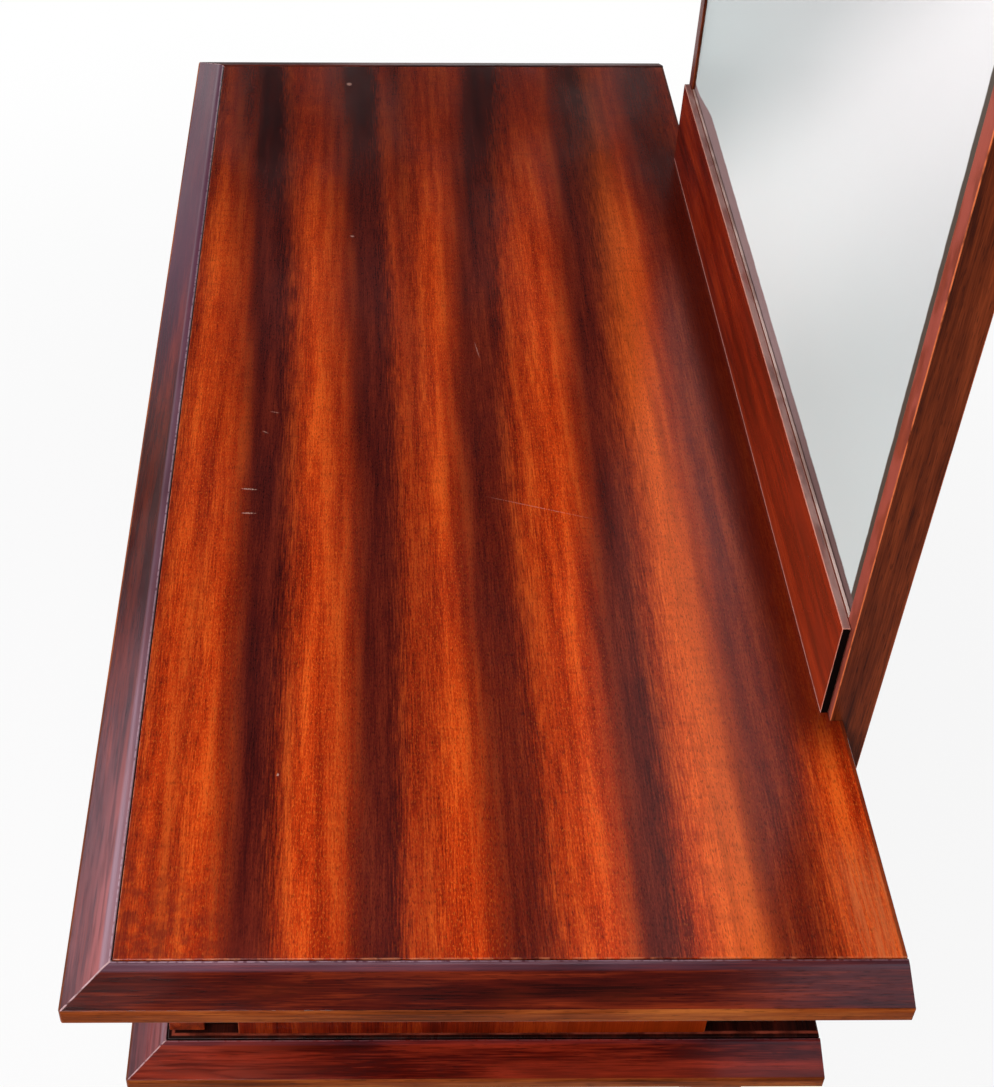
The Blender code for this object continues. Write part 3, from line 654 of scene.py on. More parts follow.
def band_depth(finish, distance, share, swell):
    """How dark the bands are at a distance from the front edge, and a share from the near to far end."""
    depth = 0.0
    for near, far, bow, half_width, near_depth, far_depth in BANDS:
        middle = (near + far) / 2 + bow
        slant = (near - far) / 2
        centre = finish.math("MULTIPLY_ADD", share, -bow, slant)
        centre = finish.math("MULTIPLY_ADD", centre, share, middle)
        away = finish.math("DIVIDE", finish.apart(distance, centre), swell)
        band = finish.spread(away, half_width + BAND_EDGE, half_width - BAND_EDGE)
        half = (near_depth - far_depth) / 2
        strength = finish.math("MULTIPLY_ADD", share, half, near_depth - half)
        depth = finish.math("MAXIMUM", depth, finish.math("MULTIPLY", band, strength))
    return depth


def scars(finish, x, y):
    """Short scratches and chips in the lacquer."""
    total = 0.0
    for place_x, place_y, half_length, half_width, turn, depth in SCARS:
        cosine, sine = math.cos(math.radians(turn)), math.sin(math.radians(turn))
        dx = finish.math("SUBTRACT", x, place_x)
        dy = finish.math("SUBTRACT", y, place_y)
        run = finish.math("MULTIPLY_ADD", dy, sine, finish.math("MULTIPLY", dx, cosine))
        side = finish.math("MULTIPLY_ADD", dx, -sine, finish.math("MULTIPLY", dy, cosine))
        run = finish.math("DIVIDE", run, half_length)
        side = finish.math("DIVIDE", side, half_width)
        away = finish.math("MULTIPLY_ADD", run, run, finish.math("MULTIPLY", side, side))
        total = finish.math("MAXIMUM", total, finish.within(away, 1.0, 0.35, depth))
    broken = finish.spread(finish.noise(finish.where, 900, 2), 0.36, 0.56)
    return finish.math("MULTIPLY", total, broken)


def veneer_grain(finish, distance, share):
    """Orange and maroon bands with fibres, cross ripples, gold flecks and pores. Returns colour, relief."""
    fibres = finish.noise(finish.along("X", 0.05), 900, 3, 0.6)
    wander = finish.noise(finish.along("X", 0.35, 4.2), 13, 3)
    drifted = finish.math("MULTIPLY_ADD", finish.math("SUBTRACT", wander, 0.5), BAND_WANDER, distance)
    drifted = finish.math("MULTIPLY_ADD", finish.math("SUBTRACT", fibres, 0.5), FIBRE_FEATHER, drifted)
    swell = finish.math("MULTIPLY_ADD", finish.math("MULTIPLY", share, share), -BAND_SWELL, 1 + BAND_SWELL)
    depth = band_depth(finish, drifted, share, swell)

    plies = finish.noise(finish.along("X", 0.06, 2.4), 110, 3)
    grit = finish.noise(finish.along("X", 0.35, 6.1), 1300, 2)
    figure = finish.math("MULTIPLY_ADD", plies, 0.42, finish.math("MULTIPLY", fibres, 0.36))
    figure = finish.math("MULTIPLY_ADD", grit, 0.22, figure)
    orange = finish.ramp(figure, (0.40, ORANGE_TONES[0]), (0.50, ORANGE_TONES[1]), (0.61, ORANGE_TONES[2]))
    maroon = finish.ramp(figure, (0.38, MAROON_TONES[0]), (0.50, MAROON_TONES[1]), (0.63, MAROON_TONES[2]))
    bright = finish.within(finish.apart(drifted, GOLD_BAND[0]), GOLD_BAND[1], 0.0, 0.35)
    flecks = finish.spread(finish.noise(finish.along("X", 0.3, 8.8), 1250, 1), 0.56, 0.70, 0.0, 0.45)
    orange = finish.mix(finish.math("MAXIMUM", bright, flecks), orange, GOLD_TONE)
    colour = finish.mix(depth, orange, maroon)

    ripples = finish.noise(finish.along("Y", 0.30, 1.9), 150, 2)
    colour = finish.mix(finish.spread(ripples, 0.46, 0.74, 0.0, 0.16), colour, MAROON_TONES[1])
    pores = finish.spread(finish.noise(finish.along("X", 0.22, 5.5), 1150, 1), 0.56, 0.68)
    colour = finish.mix(finish.math("MULTIPLY", pores, 0.42), colour, PORE_TONE)
    return colour, finish.math("SUBTRACT", finish.math("MULTIPLY", fibres, 0.35), pores)


def striped_veneer():
    """The finish of the top panel."""
    low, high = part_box("top_panel")
    board_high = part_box("mirror_foot_board")[1]
    finish = Finish("striped_veneer")
    x, y, _ = finish.axes()
    share = finish.math("DIVIDE", x, high.x)
    distance = finish.math("SUBTRACT", y, low.y)
    colour, relief = veneer_grain(finish, distance, share)
    # Painted shade: darker towards the far end, away from the main lamp, with a faint cool painted
    # reflection.
    colour = finish.mix(finish.spread(share, *FAR_SHADE_REACH), colour, FAR_SHADE_TONE, "MULTIPLY")
    scuffs = finish.noise(finish.where, 100, 4)
    corner = finish.math("ADD", finish.math("SUBTRACT", high.x, x), distance)
    corner = finish.math("MULTIPLY", finish.spread(corner, *FRONT_CORNER),
                         finish.spread(scuffs, 0.40, 0.60, 0.25, 0.70))
    colour = finish.mix(corner, colour, MAROON_TONES[2])
    # Painted sheen: a paler haze on the veneer at the near corner at the back.
    corner = finish.math("MULTIPLY", finish.spread(x, *BACK_CORNER_SHEEN),
                         finish.spread(distance, *BACK_CORNER_SHEEN_START))
    hazy = finish.spread(finish.noise(finish.along("X", 0.05, 3.3), 640, 3), 0.32, 0.68, 0.2, 0.7)
    colour = finish.mix(finish.math("MULTIPLY", corner, hazy), colour, BACK_CORNER_SHEEN_TONE)

    # Painted shade and painted reflection: a dark strip on the veneer in front of the mirror's foot board.
    beside = finish.math("SUBTRACT", finish.math("ABSOLUTE", x), board_high.x)
    beside = finish.spread(beside, *FOOT_SHADE_FADE)
    strip = finish.math("MULTIPLY", finish.spread(distance, *FOOT_SHADE_STRIP, 0.0, 0.85), beside)
    colour = finish.mix(strip, colour, FOOT_SHADE_TONE)
    strip = finish.within(finish.math("SUBTRACT", high.y, y), BACK_STRIP, 0.6, 0.7)
    colour = finish.mix(strip, colour, BACK_STRIP_TONE)

    edge = finish.math("SUBTRACT", high.x, finish.math("ABSOLUTE", x))
    edge = finish.math("MINIMUM", edge, distance)
    nibbled = finish.spread(finish.noise(finish.where, 150, 3), 0.44, 0.62, 0.0, 0.5)
    worn = finish.math("MULTIPLY", finish.within(edge, EDGE_WEAR, 0.3), nibbled)
    colour = finish.mix(worn, colour, WORN_VENEER_TONE)
    colour = finish.mix(scars(finish, x, y), colour, CHIP_TONE)
    finish.set("Base Color", colour)

    smears = finish.noise(finish.along("X", 0.4, 9.0), 14, 4)
    finish.set("Roughness", finish.spread(smears, 0.35, 0.70, 0.16, 0.26))
    finish.set("Specular IOR Level", 0.40)
    finish.bump(relief, 0.10, PORE_DEPTH)
    return finish.material


top_veneer = striped_veneer()
print("veneer nodes:", len(top_veneer.node_tree.nodes))

# %% [markdown]
# ## Plainer woods
# Drawer fronts and case ends have a calmer orange veneer, the stiles and posts that are set in between
# them are stained nearly black, a stain that is also painted shade for their deep recess, and the drawer
# boxes are bare pale wood with plywood bottoms. The lower slab's dark veneer is likewise also painted
# shade from the top slab above it. The same wood function makes the veneer and the stain. Bare wood has
# no lacquer, so it gets a finish of its own that is rougher and fleckier.

# %% Plainer woods
END_VENEER_TONES = (tone(78, 13, 3), tone(118, 27, 6), tone(158, 54, 14))
FRONT_VENEER_TONES = (tone(100, 28, 7), tone(144, 48, 12), tone(182, 78, 25))
# Painted shade: the near-black stain also stands in for the shade of the deep recess.
STAIN_AND_SHADE_TONES = (tone(10, 4, 3), tone(18, 7, 4), tone(30, 12, 8))
BACK_TONES = (tone(26, 9, 5), tone(42, 15, 9), tone(64, 27, 16))
END_BACK_TONE = tone(168, 58, 10)
END_BACK_REACH = (-0.06, 0.15)
# Painted shade: the lower slab's dark veneer also stands in for the shade under the top slab.
LOWER_PANEL_STAIN_AND_SHADE_TONES = (tone(18, 5, 3), tone(34, 9, 6), tone(62, 19, 11))
PANEL_LINE = (0.0038, 0.0016)
PANEL_LINE_TONE = tone(150, 66, 48)
PLY_THICKNESS = 0.0016


def bare_wood(name, grain, dark, light, plies=0.0):
    """Pale unfinished wood. Plies above zero lay thin dark lines on its cut edges, as plywood has."""
    finish = Finish(name)
    streaks = finish.noise(finish.along(grain, 0.04), 60, 4, 0.6)
    flecks = finish.spread(finish.noise(finish.along(grain, 0.1, 2.2), 900, 1), 0.58, 0.72)
    colour = finish.ramp(streaks, (0.35, dark), (0.65, light))
    colour = finish.mix(finish.math("MULTIPLY", flecks, 0.35), colour, dark)
    stains = finish.spread(finish.noise(finish.where, 9, 3), 0.52, 0.75)
    colour = finish.mix(finish.math("MULTIPLY", stains, 0.25), colour, dark)
    if plies:
        layers = finish.math("SINE", finish.math("MULTIPLY", finish.axes()[2], math.tau / plies))
        colour = finish.mix(finish.spread(layers, 0.2, 0.9, 0.0, 0.3), colour, dark)
    finish.set("Base Color", colour)
    finish.set("Roughness", finish.spread(streaks, 0.3, 0.7, 0.50, 0.68))
    finish.bump(finish.math("SUBTRACT", streaks, flecks), 0.25, PORE_DEPTH)
    return finish.material


def end_veneer_finish():
    """Calm veneer for the case ends, lighter towards the back."""
    finish, colour = lacquered_wood("end_veneer", "Z", END_VENEER_TONES, shine=0.12)
    lighter = finish.spread(finish.axes()[1], *END_BACK_REACH, 0.0, 0.5)
    finish.set("Base Color", finish.mix(lighter, colour, END_BACK_TONE))
    return finish.material


def lower_panel_finish():
    """Dark veneer for the lower slab, dark also as painted shade from the top slab, with a worn line round it
    beside its mouldings.
    """
    finish, colour = lacquered_wood("lower_panel_wood", "X", LOWER_PANEL_STAIN_AND_SHADE_TONES, wear=0.0, shine=0.15)
    low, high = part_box("lower_panel")
    x, y, _ = finish.axes()
    inside = finish.math("SUBTRACT", high.x, finish.math("ABSOLUTE", x))
    inside = finish.math("MINIMUM", inside, finish.math("SUBTRACT", y, low.y))
    off_line = finish.apart(inside, PANEL_LINE[0])
    rubbed = finish.spread(finish.noise(finish.where, 60, 3), 0.36, 0.62, 0.25, 0.9)
    line = finish.math("MULTIPLY", finish.within(off_line, PANEL_LINE[1], 0.3), rubbed)
    finish.set("Base Color", finish.mix(line, colour, PANEL_LINE_TONE))
    return finish.material


end_veneer = end_veneer_finish()
front_veneer = plain_wood("front_veneer", "X", FRONT_VENEER_TONES, shine=0.35)
stained_wood = plain_wood("stained_wood", "Z", STAIN_AND_SHADE_TONES, wear=0.1, gloss=(0.30, 0.46), shine=0.06)
stained_board = plain_wood("stained_board", "X", BACK_TONES, wear=0.2, gloss=(0.34, 0.50), shine=0.2)
lower_panel_wood = lower_panel_finish()
drawer_side_wood = bare_wood("drawer_side_wood", "Y", tone(158, 112, 66), tone(206, 166, 116))
drawer_back_wood = bare_wood("drawer_back_wood", "X", tone(158, 112, 66), tone(206, 166, 116))
drawer_plywood = bare_wood("drawer_plywood", "X", tone(166, 122, 78), tone(208, 170, 124), PLY_THICKNESS)
backing_board = bare_wood("backing_board", "Z", tone(120, 84, 50), tone(166, 126, 82))
print("materials so far:", len(bpy.data.materials))

# %% [markdown]
# ## Glass and metal
# The mirror reads as a pale, hazy silver, with a lighter ridge across it. A perfect mirror would show
# only the table again, so the silvering is nearly all pale body, with a faint soft reflection over it:
# the pale body, the lighter ridge and the slightly darker top are painted reflection of a bright room. Its
# right border is a painted reflection of the frame's inner edge, and a browner strip along its bottom edge
# is a painted reflection of the ledge. The knobs, feet and screws are worn metal: one colour that clouds
# with tarnish, and a gloss that changes with it.

# %% Glass and metal
# Painted reflection: the pale body, the sheen ridge and the slightly darker top stand in for the mirror's
# reflection of a bright room.
SILVER_LOW = tone(203, 216, 215)
SHEEN_RIDGE_TONE = tone(242, 253, 252)
TOP_REFLECTION_TONE = tone(235, 225, 226)
TOP_REFLECTION_REACH = (0.80, 1.16)
FRAME_REFLECTION_TONE = tone(78, 70, 62)
FRAME_REFLECTION_WIDTH = 0.0196
FRAME_REFLECTION_SOFTNESS = 0.0015
GLASS_RAGGED = 0.002
LEDGE_REFLECTION_TONE = tone(146, 122, 122)
LEDGE_REFLECTION_NEAR_TONE = tone(104, 80, 78)
LEDGE_REFLECTION_NEAR = (0.02, 0.26)
LEDGE_REFLECTION_STRIP = 0.0130
LEDGE_REFLECTION_SOFTNESS = 0.002
LEDGE_REFLECTION_TAPER = 0.017
LEDGE_REFLECTION_END = (-0.326, -0.240)
SHEEN_RIDGE_START = (-0.09, 0.83)
SHEEN_RIDGE_SLANT = 1.2
SHEEN_RIDGE_FALL = (-0.17, 0.25)
SHEEN_RIDGE_REPEAT = (-0.40, 0.50)
SHEEN_RIDGE_WANDER = 0.10


def silvered_glass():
    """Pale mirror glass with painted reflections: a pale ridge, the frame's edge at the right and the ledge
    below.
    """
    low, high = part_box("mirror_glass")
    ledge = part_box("mirror_bottom_rail")[1].z
    finish = Finish("silvered_glass")
    x, _, z = finish.axes()
    haze = finish.noise(finish.where, 2.2, 2)
    across = finish.math("MULTIPLY_ADD", finish.math("SUBTRACT", z, SHEEN_RIDGE_START[1]), -SHEEN_RIDGE_SLANT, x)
    across = finish.math("SUBTRACT", across, SHEEN_RIDGE_START[0])
    across = finish.math("MULTIPLY_ADD", finish.math("SUBTRACT", haze, 0.5), SHEEN_RIDGE_WANDER, across)
    across = finish.math("WRAP", across, SHEEN_RIDGE_REPEAT[1], SHEEN_RIDGE_REPEAT[0])
    ridge = finish.math("MINIMUM", finish.spread(across, SHEEN_RIDGE_FALL[0], 0.0),
                        finish.spread(across, SHEEN_RIDGE_FALL[1], 0.0))
    colour = finish.mix(ridge, SILVER_LOW, SHEEN_RIDGE_TONE)
    colour = finish.mix(finish.spread(z, *TOP_REFLECTION_REACH), colour, TOP_REFLECTION_TONE, "MULTIPLY")
    ragged = finish.math("MULTIPLY", finish.noise(finish.where, 60, 3), GLASS_RAGGED)
    # Painted reflection: a dark band along the right border, where the frame's inner edge shows in the glass.
    border = finish.math("ADD", finish.math("SUBTRACT", high.x, x), ragged)
    border = finish.spread(border, FRAME_REFLECTION_WIDTH + FRAME_REFLECTION_SOFTNESS, FRAME_REFLECTION_WIDTH)
    colour = finish.mix(border, colour, FRAME_REFLECTION_TONE)
    # Painted reflection: a browner strip along the bottom edge stands in for the reflection of the ledge.
    height = finish.math("MULTIPLY_ADD", x, LEDGE_REFLECTION_TAPER, finish.math("SUBTRACT", z, ledge))
    height = finish.math("ADD", height, ragged)
    limit = finish.spread(x, *LEDGE_REFLECTION_END, 0.0, LEDGE_REFLECTION_STRIP)
    ledge_reflection = finish.spread(height, finish.math("ADD", limit, LEDGE_REFLECTION_SOFTNESS), limit)
    brown = finish.mix(finish.spread(x, *LEDGE_REFLECTION_NEAR), LEDGE_REFLECTION_TONE, LEDGE_REFLECTION_NEAR_TONE)
    colour = finish.mix(ledge_reflection, colour, brown)
    finish.set("Base Color", colour)
    finish.set("Metallic", 0.03)
    finish.set("Specular IOR Level", 0.03)
    finish.set("Roughness", finish.spread(haze, 0.3, 0.7, 0.30, 0.40))
    finish.bump(finish.noise(finish.where, 6, 1), 0.02, PORE_DEPTH)
    return finish.material


def worn_metal(name, clean, tarnished, gloss):
    """Metal that clouds with tarnish."""
    finish = Finish(name)
    clouds = finish.spread(finish.noise(finish.where, 120, 4, 0.6), 0.42, 0.66)
    finish.set("Base Color", finish.mix(clouds, clean, tarnished))
    finish.set("Metallic", 1.0)
    finish.set("Roughness", finish.spread(clouds, 0.0, 1.0, *gloss))
    finish.bump(finish.noise(finish.where, 1400, 2), 0.05, PORE_DEPTH)
    return finish.material


mirror_silver = silvered_glass()
brass = worn_metal("worn_brass", tone(214, 172, 92), tone(166, 124, 62), (0.16, 0.38))
steel = worn_metal("dull_steel", tone(176, 174, 170), tone(112, 106, 100), (0.28, 0.50))
print("glass nodes:", len(mirror_silver.node_tree.nodes))

# %% [markdown]
# ## Fine pieces from plain solids
# A board's edges are never knife sharp: a plane or sandpaper takes them off, and the rounded arris
# catches the light. Each visible solid is replaced by a finer mesh with round edges. A Bevel modifier
# rounds them, a Weighted Normal modifier keeps the broad faces flat, and the result is turned into a
# plain mesh. The faces of the bevel are marked as worn_edge and the cut ends as end_grain for the
# finishes to read.

# %% Piece kit
ARRIS_STEPS = 3
SHARP_ANGLE = math.radians(35)
SQUARE_SHARE = 0.9
BROAD_SHARE = math.cos(math.radians(4))


def flatten(piece):
    """Turn a piece and its modifiers into one plain mesh."""
    bpy.context.view_layer.update()
    graph = bpy.context.evaluated_depsgraph_get()
    mesh = bpy.data.meshes.new_from_object(piece.evaluated_get(graph), preserve_all_data_layers=True,
                                           depsgraph=graph)
    piece.modifiers.clear()
    piece.data = mesh
    mesh.name = piece.name


def mark_faces(mesh, name, chosen):
    """Carry a value of one on the chosen faces of a mesh."""
    values = mesh.attributes.new(name, "FLOAT", "FACE")
    values.data.foreach_set("value", [1.0 if pick else 0.0 for pick in chosen])


def bevel_edges(piece, radius, angle):
    """Round the edges of a piece that turn by more than an angle."""
    bevel = piece.modifiers.new("arris", "BEVEL")
    bevel.width = radius
    bevel.segments = ARRIS_STEPS
    bevel.limit_method = "ANGLE"
    bevel.angle_limit = angle
    flatten(piece)


def round_edges(piece, radius):
    """Round a piece's edges and mark the rounded faces."""
    broad = [face.normal.copy() for face in piece.data.polygons]
    bevel_edges(piece, radius, SHARP_ANGLE)
    nearest = [max(face.normal.dot(normal) for normal in broad) for face in piece.data.polygons]
    mark_faces(piece.data, "worn_edge", [share < BROAD_SHARE for share in nearest])


def mark_sides(piece, grain):
    """Mark the faces that cut across the grain, and those that look up or to the front."""
    axis = GRAIN_AXES[grain]
    normals = [face.normal.copy() for face in piece.data.polygons]
    mark_faces(piece.data, "end_grain", [abs(normal[axis]) > SQUARE_SHARE for normal in normals])
    mark_faces(piece.data, "top_face", [normal.z > SQUARE_SHARE for normal in normals])
    mark_faces(piece.data, "front_face", [-normal.y > SQUARE_SHARE for normal in normals])


def smooth(piece):
    """Shade the round parts smooth and keep the broad faces flat."""
    piece.data.shade_smooth()
    piece.data.set_sharp_from_angle(angle=SHARP_ANGLE)
    weigh = piece.modifiers.new("flat faces", "WEIGHTED_NORMAL")
    weigh.keep_sharp = True
    flatten(piece)


def new_piece(name, shape, material):
    """Put a bmesh in the scene as a piece."""
    bmesh.ops.recalc_face_normals(shape, faces=shape.faces)
    mesh = bpy.data.meshes.new(name)
    shape.to_mesh(mesh)
    shape.free()
    mesh.materials.append(material)
    piece = bpy.data.objects.new(name, mesh)
    scene.collection.objects.link(piece)
    return piece


def carve(piece, cutter, operation="DIFFERENCE"):
    """Cut a piece with a cutter, or keep what both share, and take the cutter away."""
    cut = piece.modifiers.new("cut", "BOOLEAN")
    cut.operation = operation
    cut.object = cutter
    flatten(piece)
    bpy.data.objects.remove(cutter)


def loft(rings):
    """A closed shape through rings of points, capped at both ends."""
    shape = bmesh.new()
    loops = [[shape.verts.new(point) for point in ring] for ring in rings]
    for low, high in zip(loops, loops[1:]):
        for i, corner in enumerate(low):
            j = (i + 1) % len(low)
            shape.faces.new((corner, low[j], high[j], high[i]))
    shape.faces.new(loops[0])
    shape.faces.new(loops[-1])
    return shape


def install(piece, body, slot, *nodes):
    """Let a finished piece move with its body, in place of the plain solids that it stands for."""
    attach(piece, body)
    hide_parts(*nodes)


def corners(low, high):
    """The corners of a flat rectangle, in order."""
    return [(low[0], low[1]), (high[0], low[1]), (high[0], high[1]), (low[0], high[1])]


def block(low, high):
    """A plain block between two corners."""
    return loft([[(x, y, z) for x, y in corners(low, high)] for z in (low[2], high[2])])


def fine_board(node, grain, material, slot, radius, end_material=None):
    """Replace a flat board by one with round edges, and with another finish on its cut ends if given."""
    low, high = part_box(node)
    piece = new_piece("finished_" + node, block(low, high), material)
    round_edges(piece, radius)
    mark_sides(piece, grain)
    if end_material:
        piece.data.materials.append(end_material)
        cut = [round(mark.value) for mark in piece.data.attributes["end_grain"].data]
        piece.data.polygons.foreach_set("material_index", cut)
    smooth(piece)
    install(piece, "table", slot, node)


print("piece kit ready")

# %% [markdown]
# ## The top panel
# The veneered panel is one flat board with two notches in its back edge, where the mirror's stiles pass
# down behind the table. Its outline is drawn once, extruded, and given a very small arris, because
# veneer is thin and cannot be rounded far.

# %% Top panel
VENEER_ARRIS = 0.0005
HAIRLINE = 0.0003


def top_panel():
    """The top panel, notched round the stiles."""
    low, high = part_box("top_panel")
    stile_low, stile_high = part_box("mirror_stile_right")
    notch_front = stile_low.y - HAIRLINE
    right_back = [
        (high.x, high.y),
        (stile_high.x + HAIRLINE, high.y),
        (stile_high.x + HAIRLINE, notch_front),
        (stile_low.x - HAIRLINE, notch_front),
        (stile_low.x - HAIRLINE, high.y),
    ]
    left_back = [(-x, y) for x, y in reversed(right_back)]
    outline = [(low.x, low.y), (high.x, low.y)] + right_back + left_back
    shape = loft([[(x, y, z) for x, y in outline] for z in (low.z, high.z)])
    piece = new_piece("finished_top_panel", shape, top_veneer)
    round_edges(piece, VENEER_ARRIS)
    smooth(piece)
    install(piece, "table", "figured_veneer", "top_panel")
    return piece


print("top panel faces:", len(top_panel().data.polygons))

# %% [markdown]
# ## Mouldings
# Each slab is edged on three sides by a moulding: a round lip, a crisp quirk, a flat slope and a rounded
# edge. A moulding is one section run along a line, which is what Geometry Nodes' Curve to Mesh does. It
# cannot cut a mitre, so the tree then shears each end by its distance out from the panel. The section
# is drawn once for each slab, and the same tree makes all six runs. The slab's corners were rounded after
# its mouldings were glued on, so each run is trimmed to one outline with round corners.

# %% Section of the moulding
LIP_GROOVE = 0.0008
LIP_CREST = 0.0013
LIP_DROPS = {"top": 0.0013, "lower": 0.0007}
SLOPE_DROP = 0.0097
EDGE_ROUND = 0.0028
SECTION_STEPS = 10


def arc(centre, radius, start, end):
    """Points of an arc, from one angle to another in degrees."""
    angles = [math.radians(start + (end - start) * i / SECTION_STEPS) for i in range(SECTION_STEPS + 1)]
    return [(centre[0] + radius * math.cos(a), centre[1] + radius * math.sin(a)) for a in angles]


def moulding_section(slab, width, thickness):
    """Distance out from the panel, and depth below the slab's surface, round the moulding's section."""
    lip_width, lip_drop = LIP_WIDTHS[slab], LIP_DROPS[slab]
    lip_run = lip_width - LIP_CREST
    lip_radius = (lip_run ** 2 + lip_drop ** 2) / (2 * lip_drop)
    lip_turn = math.degrees(2 * math.atan2(lip_drop, lip_run))
    slope = math.degrees(math.atan2(SLOPE_DROP - lip_drop, width - lip_width))
    corner = EDGE_ROUND * math.tan(math.radians(90 - slope) / 2)
    edge = width - EDGE_ROUND
    section = [(HAIRLINE, -thickness), (HAIRLINE, -LIP_GROOVE)]
    section += arc((LIP_CREST, -lip_radius), lip_radius, 90, 90 - lip_turn)
    section += arc((edge, -SLOPE_DROP - corner), EDGE_ROUND, 90 - slope, 0)
    section += arc((edge, EDGE_ROUND - thickness), EDGE_ROUND, 0, -90)
    return [(out, -height) for out, height in section]


print("lips:", LIP_WIDTHS)

# %% Tree that runs a moulding
def add_inputs(tree, *rows):
    """Add named inputs to a tree and return them by name."""
    return {label: tree.interface.new_socket(label, in_out="INPUT", socket_type=kind) for label, kind in rows}


def moulding_tree():
    """A tree that sweeps a section along a straight run and shears its ends to a mitre."""
    tree = bpy.data.node_groups.new("moulding_run", "GeometryNodeTree")
    inputs = add_inputs(
        tree, ("Section", "NodeSocketGeometry"), ("Start", "NodeSocketVector"), ("End", "NodeSocketVector"),
        ("Outward", "NodeSocketVector"), ("Start Mitre", "NodeSocketFloat"),
        ("End Mitre", "NodeSocketFloat"), ("Finish", "NodeSocketMaterial"),
        ("Edge From", "NodeSocketFloat"), ("Edge Finish", "NodeSocketMaterial"))
    tree.interface.new_socket("Moulding", in_out="OUTPUT", socket_type="NodeSocketGeometry")

    def add(kind, *links, **settings):
        made = tree.nodes.new(kind)
        for label, value in settings.items():
            setattr(made, label, value)
        for socket, source in links:
            tree.links.new(source, made.inputs[socket])
        return made

    given = add("NodeGroupInput").outputs
    section = add("GeometryNodeMeshToCurve", ("Mesh", given["Section"]))
    path = add("GeometryNodeCurvePrimitiveLine", ("Start", given["Start"]), ("End", given["End"]))
    sweep = add("GeometryNodeCurveToMesh", ("Curve", path.outputs["Curve"]),
                ("Profile Curve", section.outputs["Curve"]))
    sweep.inputs["Fill Caps"].default_value = True
    place = add("GeometryNodeInputPosition")
    reach = add("ShaderNodeVectorMath", (0, place.outputs[0]), (1, given["Start"]), operation="SUBTRACT")
    whole = add("ShaderNodeVectorMath", (0, given["End"]), (1, given["Start"]), operation="SUBTRACT")
    length = add("ShaderNodeVectorMath", (0, whole.outputs[0]), operation="LENGTH")
    forward = add("ShaderNodeVectorMath", (0, whole.outputs[0]), operation="NORMALIZE")
    run = add("ShaderNodeVectorMath", (0, reach.outputs[0]), (1, forward.outputs[0]), operation="DOT_PRODUCT")
    out = add("ShaderNodeVectorMath", (0, reach.outputs[0]), (1, given["Outward"]), operation="DOT_PRODUCT")
    share = add("ShaderNodeMath", (0, run.outputs["Value"]), (1, length.outputs["Value"]), operation="DIVIDE")
    back = add("ShaderNodeMath", (0, given["Start Mitre"]), operation="MULTIPLY")
    back.inputs[1].default_value = -1.0
    slant = add("ShaderNodeMapRange", ("Value", share.outputs[0]), ("To Min", back.outputs[0]),
                ("To Max", given["End Mitre"]))
    shear = add("ShaderNodeMath", (0, slant.outputs[0]), (1, out.outputs["Value"]), operation="MULTIPLY")
    offset = add("ShaderNodeVectorMath", (0, forward.outputs[0]), ("Scale", shear.outputs[0]),
                 operation="SCALE")
    mitred = add("GeometryNodeSetPosition", ("Geometry", sweep.outputs["Mesh"]),
                 ("Offset", offset.outputs[0]))
    solid = add("GeometryNodeRealizeInstances", ("Geometry", mitred.outputs[0]))
    finished = add("GeometryNodeSetMaterial", ("Geometry", solid.outputs[0]), ("Material", given["Finish"]))
    edge = add("FunctionNodeCompare", (0, out.outputs["Value"]), (1, given["Edge From"]),
               operation="GREATER_THAN")
    edged = add("GeometryNodeSetMaterial", ("Geometry", finished.outputs[0]), ("Selection", edge.outputs[0]),
                ("Material", given["Edge Finish"]))
    add("NodeGroupOutput", (0, edged.outputs[0]))
    return tree, inputs


run_tree, run_inputs = moulding_tree()
print("moulding inputs:", list(run_inputs))

# %% The six mouldings
MITRE_GAP = 0.00015
EDGE_SHARE = 0.52
CORNER_RADII = {"front": 0.0040, "back": 0.0018}
CORNER_STEPS = 8
TRIM_MARGIN = 0.0001
TRIM_HEIGHT = 0.004


def point_piece(name, points, edges=()):
    """Put bare points and edges in the scene as a piece, for a tree to work on."""
    mesh = bpy.data.meshes.new(name)
    mesh.from_pydata(points, edges, [])
    piece = bpy.data.objects.new(name, mesh)
    scene.collection.objects.link(piece)
    return piece


def apply_tree(piece, tree, inputs, values):
    """Run a tree on a piece with its inputs set by name, and keep the result as a plain mesh."""
    modifier = piece.modifiers.new(tree.name, "NODES")
    modifier.node_group = tree
    for label, value in values.items():
        modifier[inputs[label].identifier] = value
    flatten(piece)


def trim_outline(slab):
    """The slab's outline seen from above, with round corners."""
    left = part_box(slab + "_left_moulding")[0]
    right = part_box(slab + "_right_moulding")[1]
    outline = []
    for i, (end, side) in enumerate(((-1, "front"), (1, "front"), (1, "back"), (-1, "back"))):
        radius = CORNER_RADII[side]
        inset = radius - TRIM_MARGIN
        x = end * (right.x - inset)
        y = left.y + inset if side == "front" else right.y - inset
        for step in range(CORNER_STEPS + 1):
            angle = math.radians(180 + 90 * (i + step / CORNER_STEPS))
            outline.append((x + radius * math.cos(angle), y + radius * math.sin(angle)))
    return outline


def trim_corners(piece, slab):
    """Trim a moulding to the slab's outline. The trimmed faces take its edge finish, its last one."""
    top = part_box(slab + "_panel")[1].z + TRIM_HEIGHT
    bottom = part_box(slab + "_right_moulding")[0].z - TRIM_HEIGHT
    shape = loft([[(x, y, z) for x, y in trim_outline(slab)] for z in (bottom, top)])
    cutter = new_piece("corner_cutter", shape, piece.data.materials[0])
    cutter.data.materials.append(piece.data.materials[1])
    cutter.data.polygons.foreach_set("material_index", [1] * len(cutter.data.polygons))
    carve(piece, cutter, "INTERSECT")


